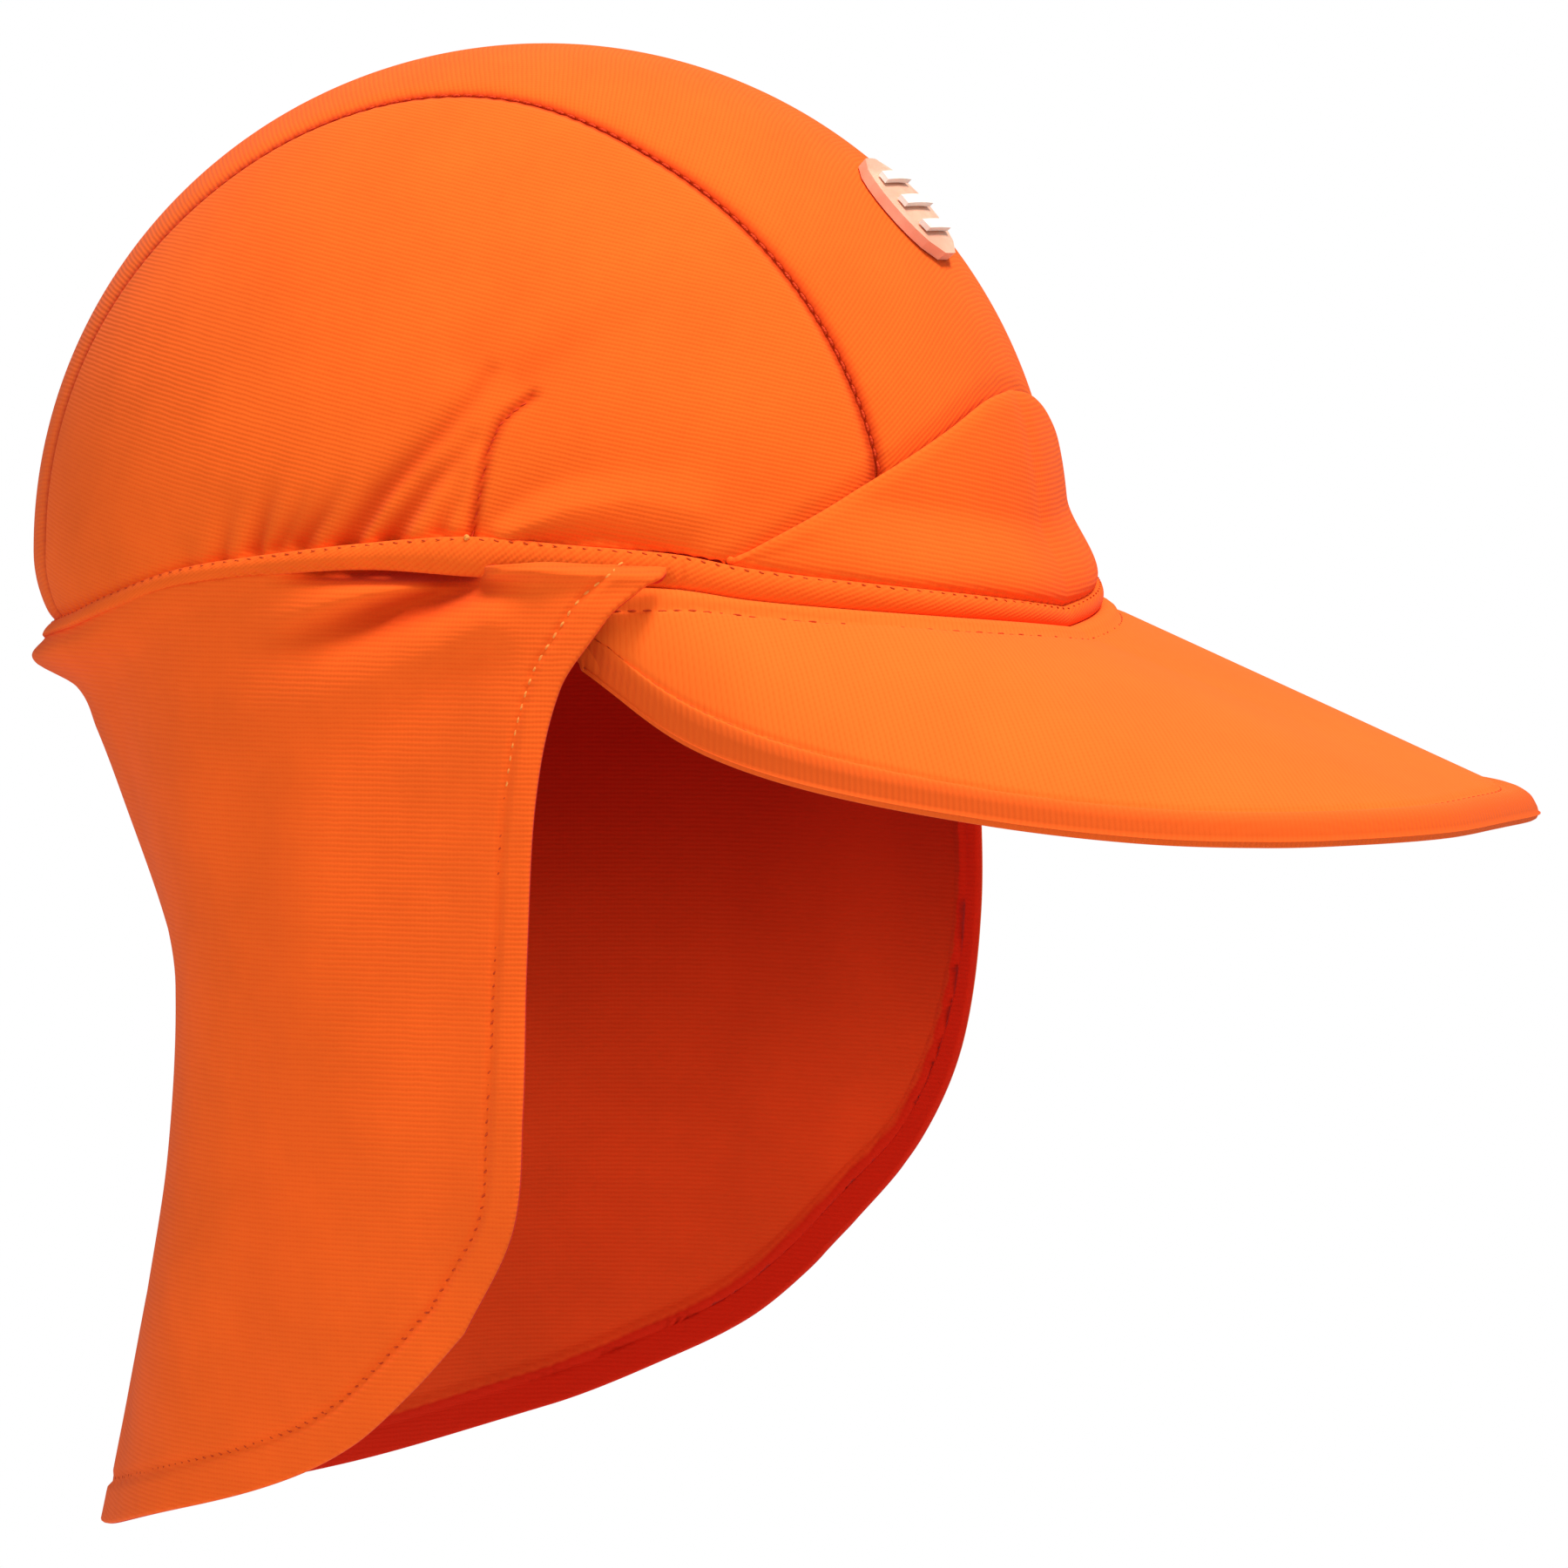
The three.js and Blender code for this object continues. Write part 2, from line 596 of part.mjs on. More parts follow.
function add(name, geometry, material) {
  const mesh = new THREE.Mesh(geometry, material);
  mesh.name = name;
  cap.add(mesh);
}

add("crown_side_right", sidePanel(-1), finish.crown);
add("crown_side_left", sidePanel(1), finish.crown);
add("crown_centre", centrePanelCloth(), finish.crown);
add("forehead_panel", foreheadPanel(), finish.crown);
add("headband", headband(), finish.crown);
add("peak", peak(), finish.peak);
add("neck_flap", neckFlap(), finish.flap);
add("badge_plate", badgeSheet(-1, 1, badgeSteps[0], badgeHalfWidth, seamGap, seamGap + badgeWall), finish.plate);
ribPlaces.forEach((place, i) => add(`badge_rib_${i + 1}`, badgeRib(place), finish.rib));

export default cap;
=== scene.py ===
import json
import math

import bpy
import numpy as np
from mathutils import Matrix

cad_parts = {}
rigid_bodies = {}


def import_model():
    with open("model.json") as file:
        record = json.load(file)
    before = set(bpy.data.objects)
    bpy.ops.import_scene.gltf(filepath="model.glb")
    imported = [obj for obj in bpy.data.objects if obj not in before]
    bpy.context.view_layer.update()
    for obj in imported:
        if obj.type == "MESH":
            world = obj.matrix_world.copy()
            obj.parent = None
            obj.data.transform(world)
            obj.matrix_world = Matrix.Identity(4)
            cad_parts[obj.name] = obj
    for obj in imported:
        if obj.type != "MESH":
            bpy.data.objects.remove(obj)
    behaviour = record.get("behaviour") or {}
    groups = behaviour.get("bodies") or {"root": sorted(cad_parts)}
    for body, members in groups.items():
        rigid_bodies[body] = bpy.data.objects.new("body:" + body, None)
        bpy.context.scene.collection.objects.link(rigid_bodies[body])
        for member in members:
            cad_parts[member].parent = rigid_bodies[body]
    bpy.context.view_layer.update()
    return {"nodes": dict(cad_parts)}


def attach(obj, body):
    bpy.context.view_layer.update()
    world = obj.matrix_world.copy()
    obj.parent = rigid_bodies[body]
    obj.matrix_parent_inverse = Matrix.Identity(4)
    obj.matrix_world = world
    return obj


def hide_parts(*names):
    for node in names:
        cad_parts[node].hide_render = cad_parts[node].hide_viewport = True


bl_info = {
    "name": "Legionnaire cap",
    "version": (1, 0, 0),
    "blender": (4, 5, 0),
    "location": "3D View > Sidebar > Legionnaire cap",
    "description": "Dresses a child's legionnaire sun cap in stretch knit, seams and stitches",
    "category": "Object",
}

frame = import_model()
MM = 0.001

# Sizes of the frame's solids, in millimetres. The dressed pieces follow the same surfaces.
HEAD_HALF_LENGTH = 85.8
HEAD_HALF_WIDTH = 73.0
WIDEST_BEHIND = 8.0
WIDEST_LEVEL = 9.5
CROWN_HEIGHT = 83.0
TUCK_DEPTH = 42.0
CENTRE_HALF_WIDTH = 33.0
SEAM_GAP = 0.3
FOREHEAD_RISE = 34.7
FOREHEAD_HALF_ANGLE = 42.5
FOREHEAD_PROUD = 1.9
FOREHEAD_FADE = (0.5, 1.05)
BROW_FLARE = 5.2
FLARE_HEIGHT = 14.5
BAND_RISE = 14.3
BAND_HEIGHT = 5.0
BAND_WALL = 2.2
BAND_PROUD = 0.8
PEAK_REACH = 74.5
PEAK_HALF_WIDTH = 68.0
PEAK_DROP = 30.5
PEAK_HALF_ANGLE = 63.0
PEAK_WALL = 2.8
EDGE_WALL = 4.8
EDGE_CHANNEL = 7.0
FLAP_DROP = 149.0
FLAP_HALF_WIDTH = 75.0
FLAP_HALF_LENGTH = 84.0
ROLL_SHARE = 0.035
SIDE_ROUNDNESS = 0.5
LAP_ANGLES = (2.0, 14.0)
CLOTH_WALL = 1.6
HEM_FOLD = 1.2

# Tables of shares by angle from the front in degrees, by arch angle over the top, or by share of the way along
BAND_LINE = {
    "angle": (0, 10, 26, 41, 49, 61, 74, 87, 101, 114, 126, 139, 160, 180),
    "top": (0.13, 0.25, 0.45, 0.66, 0.81, 0.91, 1, 0.92, 0.77, 0.59, 0.3, 0.02, -0.2, -0.27),
    "depth": (0.46, 0.52, 0.64, 0.78, 0.85, 0.95, 1, 0.6, 0.42, 0.36, 0.32, 0.3, 0.3, 0.3),
}
FOREHEAD_EDGE = {
    "round": (0, 0.16, 0.35, 0.55, 0.71, 0.86, 1),
    "rise": (1, 0.92, 0.745, 0.54, 0.36, 0.19, 0.02),
}
CENTRE_PANEL = {"arch": (0, 60, 90, 130, 180), "half": (1, 1.03, 0.97, 1.2, 1.4)}
PEAK_RIM = {
    "round": (0, 0.13, 0.26, 0.39, 0.52, 0.65, 0.79, 0.88, 1),
    "wide": (0, 0.294, 0.535, 0.72, 0.855, 0.94, 0.98, 0.96, 0.915),
    "ahead": (1, 0.992, 0.945, 0.875, 0.77, 0.63, 0.455, 0.335, 0.22),
    "drop": (0.98, 0.985, 0.99, 0.99, 0.965, 0.885, 0.73, 0.54, 0.18),
}
FLAP_LEVELS = {
    "down": (0, 0.014, 0.03, 0.054, 0.1, 0.17, 0.31, 0.4, 0.58, 0.74, 1),
    "side": (0.98, 0.985, 0.99, 1, 1.005, 1.01, 1.015, 1.02, 1.02, 1.01, 0.98),
    "back": (0.99, 1.05, 1.02, 0.92, 0.87, 0.81, 0.705, 0.665, 0.69, 0.765, 0.885),
}
FLAP_EDGE = {
    "down": (0, 0.06, 0.13, 0.28, 0.5, 0.7, 0.86, 1),
    "right": (51, 57, 61.5, 64.5, 65.5, 66, 67.5, 74),
    "left": (51, 53.5, 54, 52, 50.5, 54.5, 62, 73),
}
FLAP_HEM = {
    "round": (0, 0.06, 0.14, 0.24, 0.4, 0.66, 1),
    "right": (0.73, 0.79, 0.855, 0.9, 0.943, 0.994, 1.03),
    "left": (0.73, 0.785, 0.845, 0.893, 0.953, 1.008, 1.03),
}


def read_table(table, key, column, value):
    """A column of a table at some values of its key, along a smooth curve through the rows."""
    keys = np.array(table[key], float)
    rows = np.array(table[column], float)
    slopes = np.gradient(rows, keys)
    slopes[1:-1] = (rows[2:] - rows[:-2]) / (keys[2:] - keys[:-2])
    at = np.clip(value, keys[0], keys[-1])
    i = np.clip(np.searchsorted(keys, at, side="right") - 1, 0, len(keys) - 2)
    run = keys[i + 1] - keys[i]
    t = (at - keys[i]) / run
    cubic = (2 * t - 3) * t * t
    bend = run * t * (1 - t) * (slopes[i] * (1 - t) - slopes[i + 1] * t)
    return rows[i] * (cubic + 1) - rows[i + 1] * cubic + bend


def smooth_step(low, high, value):
    """0 below low, 1 above high and smooth between."""
    t = np.clip((value - low) / (high - low), 0, 1)
    return t * t * (3 - 2 * t)


def mix(a, b, share):
    """The value at a share of the way from a to b."""
    return a + (b - a) * share


def unit(vectors):
    """Vectors of length one, along the last axis."""
    return vectors / np.maximum(np.linalg.norm(vectors, axis=-1, keepdims=True), 1e-9)


def stack(x, y, z):
    """Points from their three coordinates."""
    return np.stack(np.broadcast_arrays(x, y, z), axis=-1).astype(float)


def plan_radius(turn):
    """Distance of the crown's outline from the middle at its widest level, by the turn in radians."""
    across = np.sin(turn) / HEAD_HALF_WIDTH
    radii = []
    for half in (HEAD_HALF_LENGTH + WIDEST_BEHIND, HEAD_HALF_LENGTH - WIDEST_BEHIND):
        along = np.cos(turn) / half
        a = across * across + along * along
        b = along * WIDEST_BEHIND / half
        radii.append((-b + np.sqrt(b * b - a * ((WIDEST_BEHIND / half) ** 2 - 1))) / a)
    return np.where(-radii[0] * np.cos(turn) <= WIDEST_BEHIND, radii[0], radii[1])


def dome_round(turn, height, lift=0.0):
    """Points of the crown's outer face by their turn from the front and their height."""
    reach = np.where(height > WIDEST_LEVEL, CROWN_HEIGHT, TUCK_DEPTH)
    share = np.minimum(1, np.abs(height - WIDEST_LEVEL) / reach)
    radius = plan_radius(turn) * np.sqrt(1 - share * share) + lift
    return stack(radius * np.sin(turn), -radius * np.cos(turn), height)


def onto_dome(rough):
    """The points of the crown's outer face in line with rough points."""
    turn = np.arctan2(rough[..., 0], -rough[..., 1])
    reach = np.where(rough[..., 2] > WIDEST_LEVEL, CROWN_HEIGHT, TUCK_DEPTH)
    radius = plan_radius(turn)
    across = np.hypot(rough[..., 0], rough[..., 1]) / radius
    above = (rough[..., 2] - WIDEST_LEVEL) / reach
    size = np.hypot(across, above)
    out = across / size * radius
    return stack(out * np.sin(turn), -out * np.cos(turn), WIDEST_LEVEL + above / size * reach)


def dome_arch(arch, side):
    """Points of the crown by their arch angle over the top and their distance from the middle plane."""
    inner = np.sqrt(np.maximum(0, 1 - (side / HEAD_HALF_WIDTH) ** 2))
    ahead = HEAD_HALF_LENGTH * inner * np.cos(arch)
    above = CROWN_HEIGHT * inner * np.sin(arch)
    return onto_dome(stack(side, -ahead, WIDEST_LEVEL + above))


def angle_of(points):
    """Angle of points from the front, in degrees, the same on both sides."""
    return np.abs(np.degrees(np.arctan2(points[..., 0], -points[..., 1])))


def band_top(angle):
    """Height of the headband's upper edge."""
    return BAND_RISE * read_table(BAND_LINE, "angle", "top", angle)


def band_bottom(angle):
    """Height of the headband's lower edge."""
    return band_top(angle) - SEAM_GAP - BAND_HEIGHT * read_table(BAND_LINE, "angle", "depth", angle)


def forehead_top(angle):
    """Height of the forehead panel's upper edge."""
    rise = read_table(FOREHEAD_EDGE, "round", "rise", angle / FOREHEAD_HALF_ANGLE)
    return band_top(angle) + FOREHEAD_RISE * rise


def brow_lift(angle, height):
    """How far the forehead panel and what hangs from it stand out from the crown."""
    fade = 1 - smooth_step(*FOREHEAD_FADE, angle / FOREHEAD_HALF_ANGLE)
    flare = 1 - smooth_step(0, FLARE_HEIGHT, height - band_top(angle))
    return fade * (FOREHEAD_PROUD + BROW_FLARE * flare)


def arch_point(arch, share):
    """Points of the crown on the line at a share of the centre panel's half width."""
    half = CENTRE_HALF_WIDTH * read_table(CENTRE_PANEL, "arch", "half", arch)
    return dome_arch(np.radians(arch), half * share)


def arch_at(share, edge_height, low, high):
    """Arch angle between low and high at which that line rises through an edge."""
    below = np.full(np.shape(share), float(low))
    above = np.full(np.shape(share), float(high))
    for _ in range(30):
        middle = (below + above) / 2
        point = arch_point(middle, share)
        over = point[..., 2] > edge_height(angle_of(point))
        above = np.where(over, middle, above)
        below = np.where(over, below, middle)
    return (below + above) / 2


def from_axis(points):
    """Level directions away from the upright axis."""
    return unit(points * np.array((1, 1, 0)))


def from_crown_middle(points):
    """Directions away from the middle of the crown."""
    return unit(points - np.array((0, 0, WIDEST_LEVEL)))


def band_middle(angle, height, out=0.0):
    """The middle of the headband's wall at an angle from the front, wearer's right negative."""
    size = np.abs(angle)
    point = dome_round(np.radians(angle), band_top(size), brow_lift(size, band_top(size)))
    point = point + from_axis(point) * np.expand_dims(BAND_PROUD - BAND_WALL / 2 + out, -1)
    point[..., 2] = height
    return point


def peak_root(share):
    """Points of the peak's root under the headband, by the share round it from -1 to 1."""
    angle = share * PEAK_HALF_ANGLE
    return band_middle(angle, band_bottom(np.abs(angle)) - SEAM_GAP - PEAK_WALL / 2)


def peak_rim(share):
    """Points of the peak's rim, by the share round it from -1 to 1."""
    size = np.abs(share)
    reach = PEAK_REACH - peak_root(np.zeros(1))[0, 1]
    ahead = reach * read_table(PEAK_RIM, "round", "ahead", size)
    wide = np.sign(share) * PEAK_HALF_WIDTH * read_table(PEAK_RIM, "round", "wide", size)
    return stack(wide, -ahead, -PEAK_DROP * read_table(PEAK_RIM, "round", "drop", size))


def flap_point(angle, height):
    """Outer face of the neck flap, without folds, at an angle from the front and a height."""
    size = np.abs(angle)
    down = (band_bottom(size) - 2 * SEAM_GAP - height) / FLAP_DROP
    side = FLAP_HALF_WIDTH * read_table(FLAP_LEVELS, "down", "side", down)
    back = FLAP_HALF_LENGTH * read_table(FLAP_LEVELS, "down", "back", down)
    turn = np.radians(size)
    round_it = 1 / np.hypot(np.sin(turn) / side, np.cos(turn) / back)
    behind = stack(round_it * np.sin(turn), -round_it * np.cos(turn), height)
    before = stack(side * mix(1, np.sin(turn), SIDE_ROUNDNESS), -FLAP_HALF_WIDTH * np.cos(turn), height)
    wall = np.where(np.expand_dims(size < 90, -1), before, behind)
    wall[..., 0] *= np.sign(angle)
    over_peak = 1 - smooth_step(PEAK_HALF_ANGLE + LAP_ANGLES[0], PEAK_HALF_ANGLE + LAP_ANGLES[1], size)
    lap = EDGE_WALL / 2 + SEAM_GAP + CLOTH_WALL + HEM_FOLD
    root = band_middle(angle, height, mix(CLOTH_WALL / 2, lap, over_peak))
    wall = wall + from_axis(wall) * np.expand_dims(over_peak * CLOTH_WALL, -1)
    return mix(root, wall, np.expand_dims(smooth_step(0, ROLL_SHARE, down), -1))


def flap_place(u, v):
    """Angle and height at a share round the flap, from -1 on the wearer's right, and a share of the way down."""
    share = 1 - np.abs(u)
    edge, hem = (
        np.where(u < 0, read_table(table, key, "right", at), read_table(table, key, "left", at))
        for table, key, at in ((FLAP_EDGE, "down", v), (FLAP_HEM, "round", share))
    )
    size = mix(edge, 180, share)
    top = band_bottom(mix(FLAP_EDGE["right"][0], 180, share)) - 2 * SEAM_GAP
    return np.where(u < 0, -size, size), mix(top, -FLAP_DROP * hem, v)


# Folds of a side panel, each a line of (angle from the front, height), with its depth and width at both ends.
# A positive depth is a valley, a negative one a ridge.
CROWN_FOLDS = (
    (((90.1, 13.0), (85.7, 20.8), (82.3, 25.3), (78.4, 30.3), (74.4, 35.6), (71.8, 40.4)), (2.6, 0.7), (2.7, 1.6)),
    (((84.3, 14.0), (79.4, 22.4), (75.4, 27.2), (73.9, 29.7)), (2.5, 0.6), (2.3, 1.7)),
    (((77.6, 15.5), (75.6, 20.3), (74.7, 23.9)), (1.4, 0.4), (1.5, 1.4)),
    (((96.3, 13.2), (93.2, 18.3), (90.3, 24.1)), (2.2, 0.2), (2.1, 2.0)),
    (((99.6, 12.7), (97.0, 18.0), (95.4, 23.0)), (1.5, 0.1), (1.5, 1.6)),
    (((102.8, 12.2), (101.4, 17.8), (99.6, 24.0)), (2.0, 0.2), (1.7, 2.2)),
    (((107.5, 10.5), (106.6, 16.0), (105.0, 22.0)), (1.3, 0.0), (1.6, 2.4)),
    (((112.5, 9.0), (112.0, 14.0)), (0.6, 0.0), (1.6, 2.4)),
    (((87.3, 14.0), (83.0, 21.5), (79.0, 27.5)), (-0.8, -0.2), (1.8, 1.8)),
    (((80.8, 15.0), (77.4, 21.5), (75.0, 26.0)), (-0.7, -0.1), (1.6, 1.6)),
    (((76.0, 16.5), (74.4, 22.3), (73.2, 27.6)), (-0.5, -0.2), (1.2, 1.2)),
    (((71.9, 16.1), (66.5, 21.5), (60.6, 24.3), (49.3, 25.0)), (1.1, 0.3), (3.0, 5.5)),
    (((69.5, 14.8), (62.0, 19.0), (54.0, 20.5), (47.0, 18.5)), (-1.2, -0.8), (2.8, 4.2)),
    (((66.0, 13.6), (57.5, 14.8), (48.6, 12.0)), (1.1, 0.8), (1.8, 2.6)),
    (((67.3, 39.7), (58.0, 46.5), (48.3, 51.8)), (0.9, 0.4), (4.5, 8.0)),
    (((75.0, 43.0), (70.0, 50.0), (62.0, 57.0)), (0.6, 0.2), (4.0, 8.0)),
)
FOLD_SHARPNESS = 1.6
# Lengths along the pattern, in millimetres: the side panel's seam and height, and the centre panel
SIDE_SEAM_LENGTH = 215.0
SIDE_PANEL_HEIGHT = 95.0
CENTRE_LENGTH = 250.0
# Half the gap between the crown's panels, and how far the painted shade along their seams reaches
HALF_SEAM = 0.45
SEAM_CREASE = 0.8
# The dart: a stitched pinch in each side panel
DART = ((73.6, 14.6), (72.5, 22.4), (71.7, 27.7), (71.0, 29.9), (70.2, 32.2), (68.7, 34.1), (65.9, 36.7))
DART_DEPTH = (1.3, 0.9)
DART_WIDTH = (0.65, 0.8)

# Folds of the flap below its top edge, in the same form, with outward ridges negative
FLAP_FOLDS = (
    (
        ((54.0, 9.0), (61.0, 9.5), (67.0, 10.2), (71.0, 9.8), (77.9, 8.2), (84.3, 6.2), (91.0, 4.2), (98.0, 1.8)),
        (-1.0, -1.6, -2.4, -3.2, -2.6, -1.8, -0.6),
        (1.7, 2.8),
    ),
    (
        ((64.0, 8.0), (72.4, 7.3), (81.4, 4.4), (90.7, 0.6), (96.7, -1.6), (106.1, -5.2)),
        (0.2, 3.2, 4.8, 4.0, 2.4, 1.2, 0.4),
        (2.2, 5.5),
    ),
    (((70.0, 2.0), (80.0, -4.0), (90.0, -9.5), (100.0, -14.0)), (-1.0, -0.4), (4.0, 6.0)),
    (((72.0, -4.0), (84.0, -13.0), (94.0, -22.0)), (1.1, 0.3), (5.0, 8.0)),
    (((80.0, -28.0), (84.0, -60.0), (92.0, -92.0)), (0.6, 0.5), (9.0, 12.0)),
    (((112.0, -10.0), (118.0, -50.0), (120.0, -120.0)), (-0.6, -1.0), (12.0, 16.0)),
    (((101.0, -30.0), (103.0, -70.0), (104.0, -120.0)), (0.6, 1.0), (10.0, 13.0)),
    (((132.0, -15.0), (140.0, -60.0), (141.0, -130.0)), (0.7, 0.9), (10.0, 14.0)),
)
# Where the flap's top edge tucks under the headband in front, and where it stops, by angle from the front
FLAP_POCKET = (70.0, 75.0, 84.0, 102.0)
POCKET_DEPTH = 7.0
POCKET_HEIGHT = 1.5
# How far the crown runs on under the forehead panel, in millimetres
FRONT_UNDER = 6.0
FLAP_LIP = (63.0, 79.0)
LIP_RISE = 3.4
LIP_PROUD = 0.8
ROLL_RISE = 1.2
ROLL_PROUD = 0.9
# Width of the hem along the flap's free edge from its top corner, in millimetres
HEM_SHARE = {
    "along": (0, 15, 37, 67, 85, 104, 120, 150, 300),
    "width": (4.6, 4.6, 4.4, 4.6, 5.2, 5.2, 6.0, 6.4, 6.6),
}
HEM_LOWER = 6.6


def ways_along(line):
    """The way along a line of points to each of them."""
    return np.concatenate([[0], np.cumsum(np.linalg.norm(np.diff(line, axis=0), axis=1))])


def nearest_on(line, places):
    """Distance of places from a line of points, and the way along it to where it is nearest."""
    starts = ways_along(line)
    best = np.full(places.shape[:-1], np.inf)
    way = np.zeros_like(best)
    for k, length in enumerate(np.diff(starts)):
        along = (line[k + 1] - line[k]) / length
        offset = places - line[k]
        at = np.clip(offset @ along, 0, length)
        gap = np.linalg.norm(offset - at[..., None] * along, axis=-1)
        nearer = gap < best
        best = np.where(nearer, gap, best)
        way = np.where(nearer, starts[k] + at, way)
    return best, way


def line_relief(places, fold):
    """How far a fold sinks the cloth at places on the flat pattern, both in millimetres."""
    points, depths, widths = fold
    line = np.array(points, float)
    line[:, 0] *= math.radians(HEAD_HALF_WIDTH)
    distance, way = nearest_on(line, places)
    share = way / ways_along(line)[-1]
    depth = np.interp(share, np.linspace(0, 1, len(depths)), depths)
    return depth * np.exp(-((distance / mix(*widths, share)) ** FOLD_SHARPNESS))


def flat_places(points):
    """Places on the crown's or flap's flat pattern: distance round from the front, and height."""
    return np.stack([np.radians(angle_of(points)) * HEAD_HALF_WIDTH, points[..., 2]], axis=-1)


def crown_sink(points):
    """How far the gathers sink a side panel, and how far its dart does."""
    places = flat_places(points)
    gathers = sum(line_relief(places, fold) for fold in CROWN_FOLDS)
    return gathers, line_relief(places, (DART, DART_DEPTH, DART_WIDTH))


def crown_crease(points, from_seam):
    """How deep in a fold, the dart or the seam a place on a side panel is, from 0 to 1: where shade is painted into its
    knit.
    """
    gathers, dart = crown_sink(points)
    folded = np.maximum(0.8 * smooth_step(0.1, 2.4, gathers), np.minimum(1, dart / 1.0))
    return np.maximum(folded, seam_dip(from_seam, 1, SEAM_CREASE))


def from_side_seam(u, v):
    """Rough distance of a place on a side panel from its seam to the centre panel."""
    return (1 - v) * SIDE_PANEL_HEIGHT * np.maximum(0.12, np.sin(math.pi * np.clip(u, 0.02, 0.98)) ** 0.7)


def seam_dip(distance, depth=0.55, width=1.5):
    """How far cloth dips towards a seam at some distance from it."""
    return depth * np.exp(-((distance / width) ** 2))


def pucker(along, pitch=2.3):
    """Small ripples that stitches pull into cloth, from 0 to 1."""
    return 0.5 - 0.5 * np.cos(2 * math.pi * along / pitch)


def under_forehead(above):
    """How far a crown panel sinks next to the forehead panel's upper edge, and under that panel."""
    return seam_dip(np.maximum(0, above), 0.5, 2.0) + 1.2 * smooth_step(0, -2.5, above)


def above_forehead(angle):
    """Lower edge of the crown panels in front: they run on under the forehead panel."""
    under = FRONT_UNDER * (1 - smooth_step(0.6, 0.95, angle / FOREHEAD_HALF_ANGLE))
    return forehead_top(angle) + SEAM_GAP - under


def arch_ends(share):
    """Arch angles at which a line of the centre panel meets the forehead panel and the headband behind."""
    share = np.asarray(share, float)
    front = arch_at(share, above_forehead, 0, 90)
    back = arch_at(share, band_top, 210, 90)
    return front, back


def side_face(u, v, side):
    """Outer face of a side panel: u runs from the front to the back, v from the headband to the seam."""
    share = 1 + HALF_SEAM / CENTRE_HALF_WIDTH
    tip = FOREHEAD_HALF_ANGLE + SEAM_GAP / math.radians(HEAD_HALF_WIDTH)
    front = float(arch_at(share, above_forehead, 0, 90))
    end = float(arch_at(share, lambda angle: band_top(angle) + 12.0, 210, 90))
    crossing = float(angle_of(arch_point(front, share)))
    low_end = float(arch_at(share, lambda angle: band_top(angle) + 0.25, 210, 90))
    back = float(angle_of(arch_point(low_end, share)))
    seam = arch_point(mix(low_end, end, v), share)
    edge_angle = mix(tip, crossing, v)
    edge = dome_round(np.radians(edge_angle), above_forehead(edge_angle))

    def ruled(round_it):
        angle = mix(tip, back, round_it)
        foot = dome_round(np.radians(angle), band_top(angle) + 0.25)
        return mix(foot, arch_point(mix(front, end, round_it), share), v[..., None])

    bend = (edge - ruled(np.zeros_like(u))) * ((1 - u) ** 4)[..., None]
    bend = bend + (seam - ruled(np.ones_like(u))) * (u**12)[..., None]
    smooth = onto_dome(ruled(u) + bend)
    to_band = smooth[..., 2] - band_top(angle_of(smooth))
    to_fold = smooth[..., 2] - forehead_top(np.minimum(angle_of(smooth), FOREHEAD_HALF_ANGLE))
    to_fold = to_fold + np.maximum(0, angle_of(smooth) - FOREHEAD_HALF_ANGLE) * 0.9
    sink = sum(crown_sink(smooth))
    sink += seam_dip(from_side_seam(u, v), 0.5 + 0.18 * pucker(u * SIDE_SEAM_LENGTH), 1.6)
    sink += seam_dip(to_band, 0.35 + 0.35 * pucker(flat_places(smooth)[..., 0]), 1.4)
    sink += under_forehead(to_fold)
    point = smooth - from_crown_middle(smooth) * sink[..., None]
    point[..., 0] *= side
    return point


def centre_face(u, v):
    """Outer face of the centre panel: u runs across from -1 to 1, v from the front over the top to the back."""
    front, back = arch_ends(u)
    point = arch_point(mix(front, back, v), u * (1 - HALF_SEAM / CENTRE_HALF_WIDTH))
    along = v * CENTRE_LENGTH
    sink = seam_dip((1 - np.abs(u)) * CENTRE_HALF_WIDTH, 0.5 + 0.18 * pucker(along), 1.6)
    sink += seam_dip(CENTRE_LENGTH - along, 0.5, 1.5) + under_forehead(along - FRONT_UNDER)
    return point - from_crown_middle(point) * sink[..., None]


def forehead_face(u, v):
    """Outer face of the forehead panel: u runs round it from -1 to 1, v from the headband to its upper edge."""
    angle = np.abs(u) * FOREHEAD_HALF_ANGLE
    height = mix(band_top(angle) + SEAM_GAP, forehead_top(angle), v)
    lift = brow_lift(angle, height) + 0.3 * np.sin(math.pi * v) * (1 - np.abs(u)) + 0.35 * smooth_step(0.5, 1, v)
    point = dome_round(u * math.radians(FOREHEAD_HALF_ANGLE), height, lift)
    low = (height - band_top(angle)) + 0.2
    high = (forehead_top(angle) - height) + 0.2
    sink = seam_dip(low, 0.55 + 0.4 * pucker(np.radians(angle) * 85, 2.3), 1.3) + seam_dip(high, 0.25, 1.0)
    crease = 0.35 * np.exp(-((u * FOREHEAD_HALF_ANGLE / 1.6) ** 2)) * smooth_step(0.15, 0.5, v)
    sink = sink + crease - 0.4 * np.exp(-(((np.abs(u) - 0.18) / 0.12) ** 2)) * (1 - smooth_step(0.0, 0.5, v))
    return point - from_crown_middle(point) * sink[..., None]


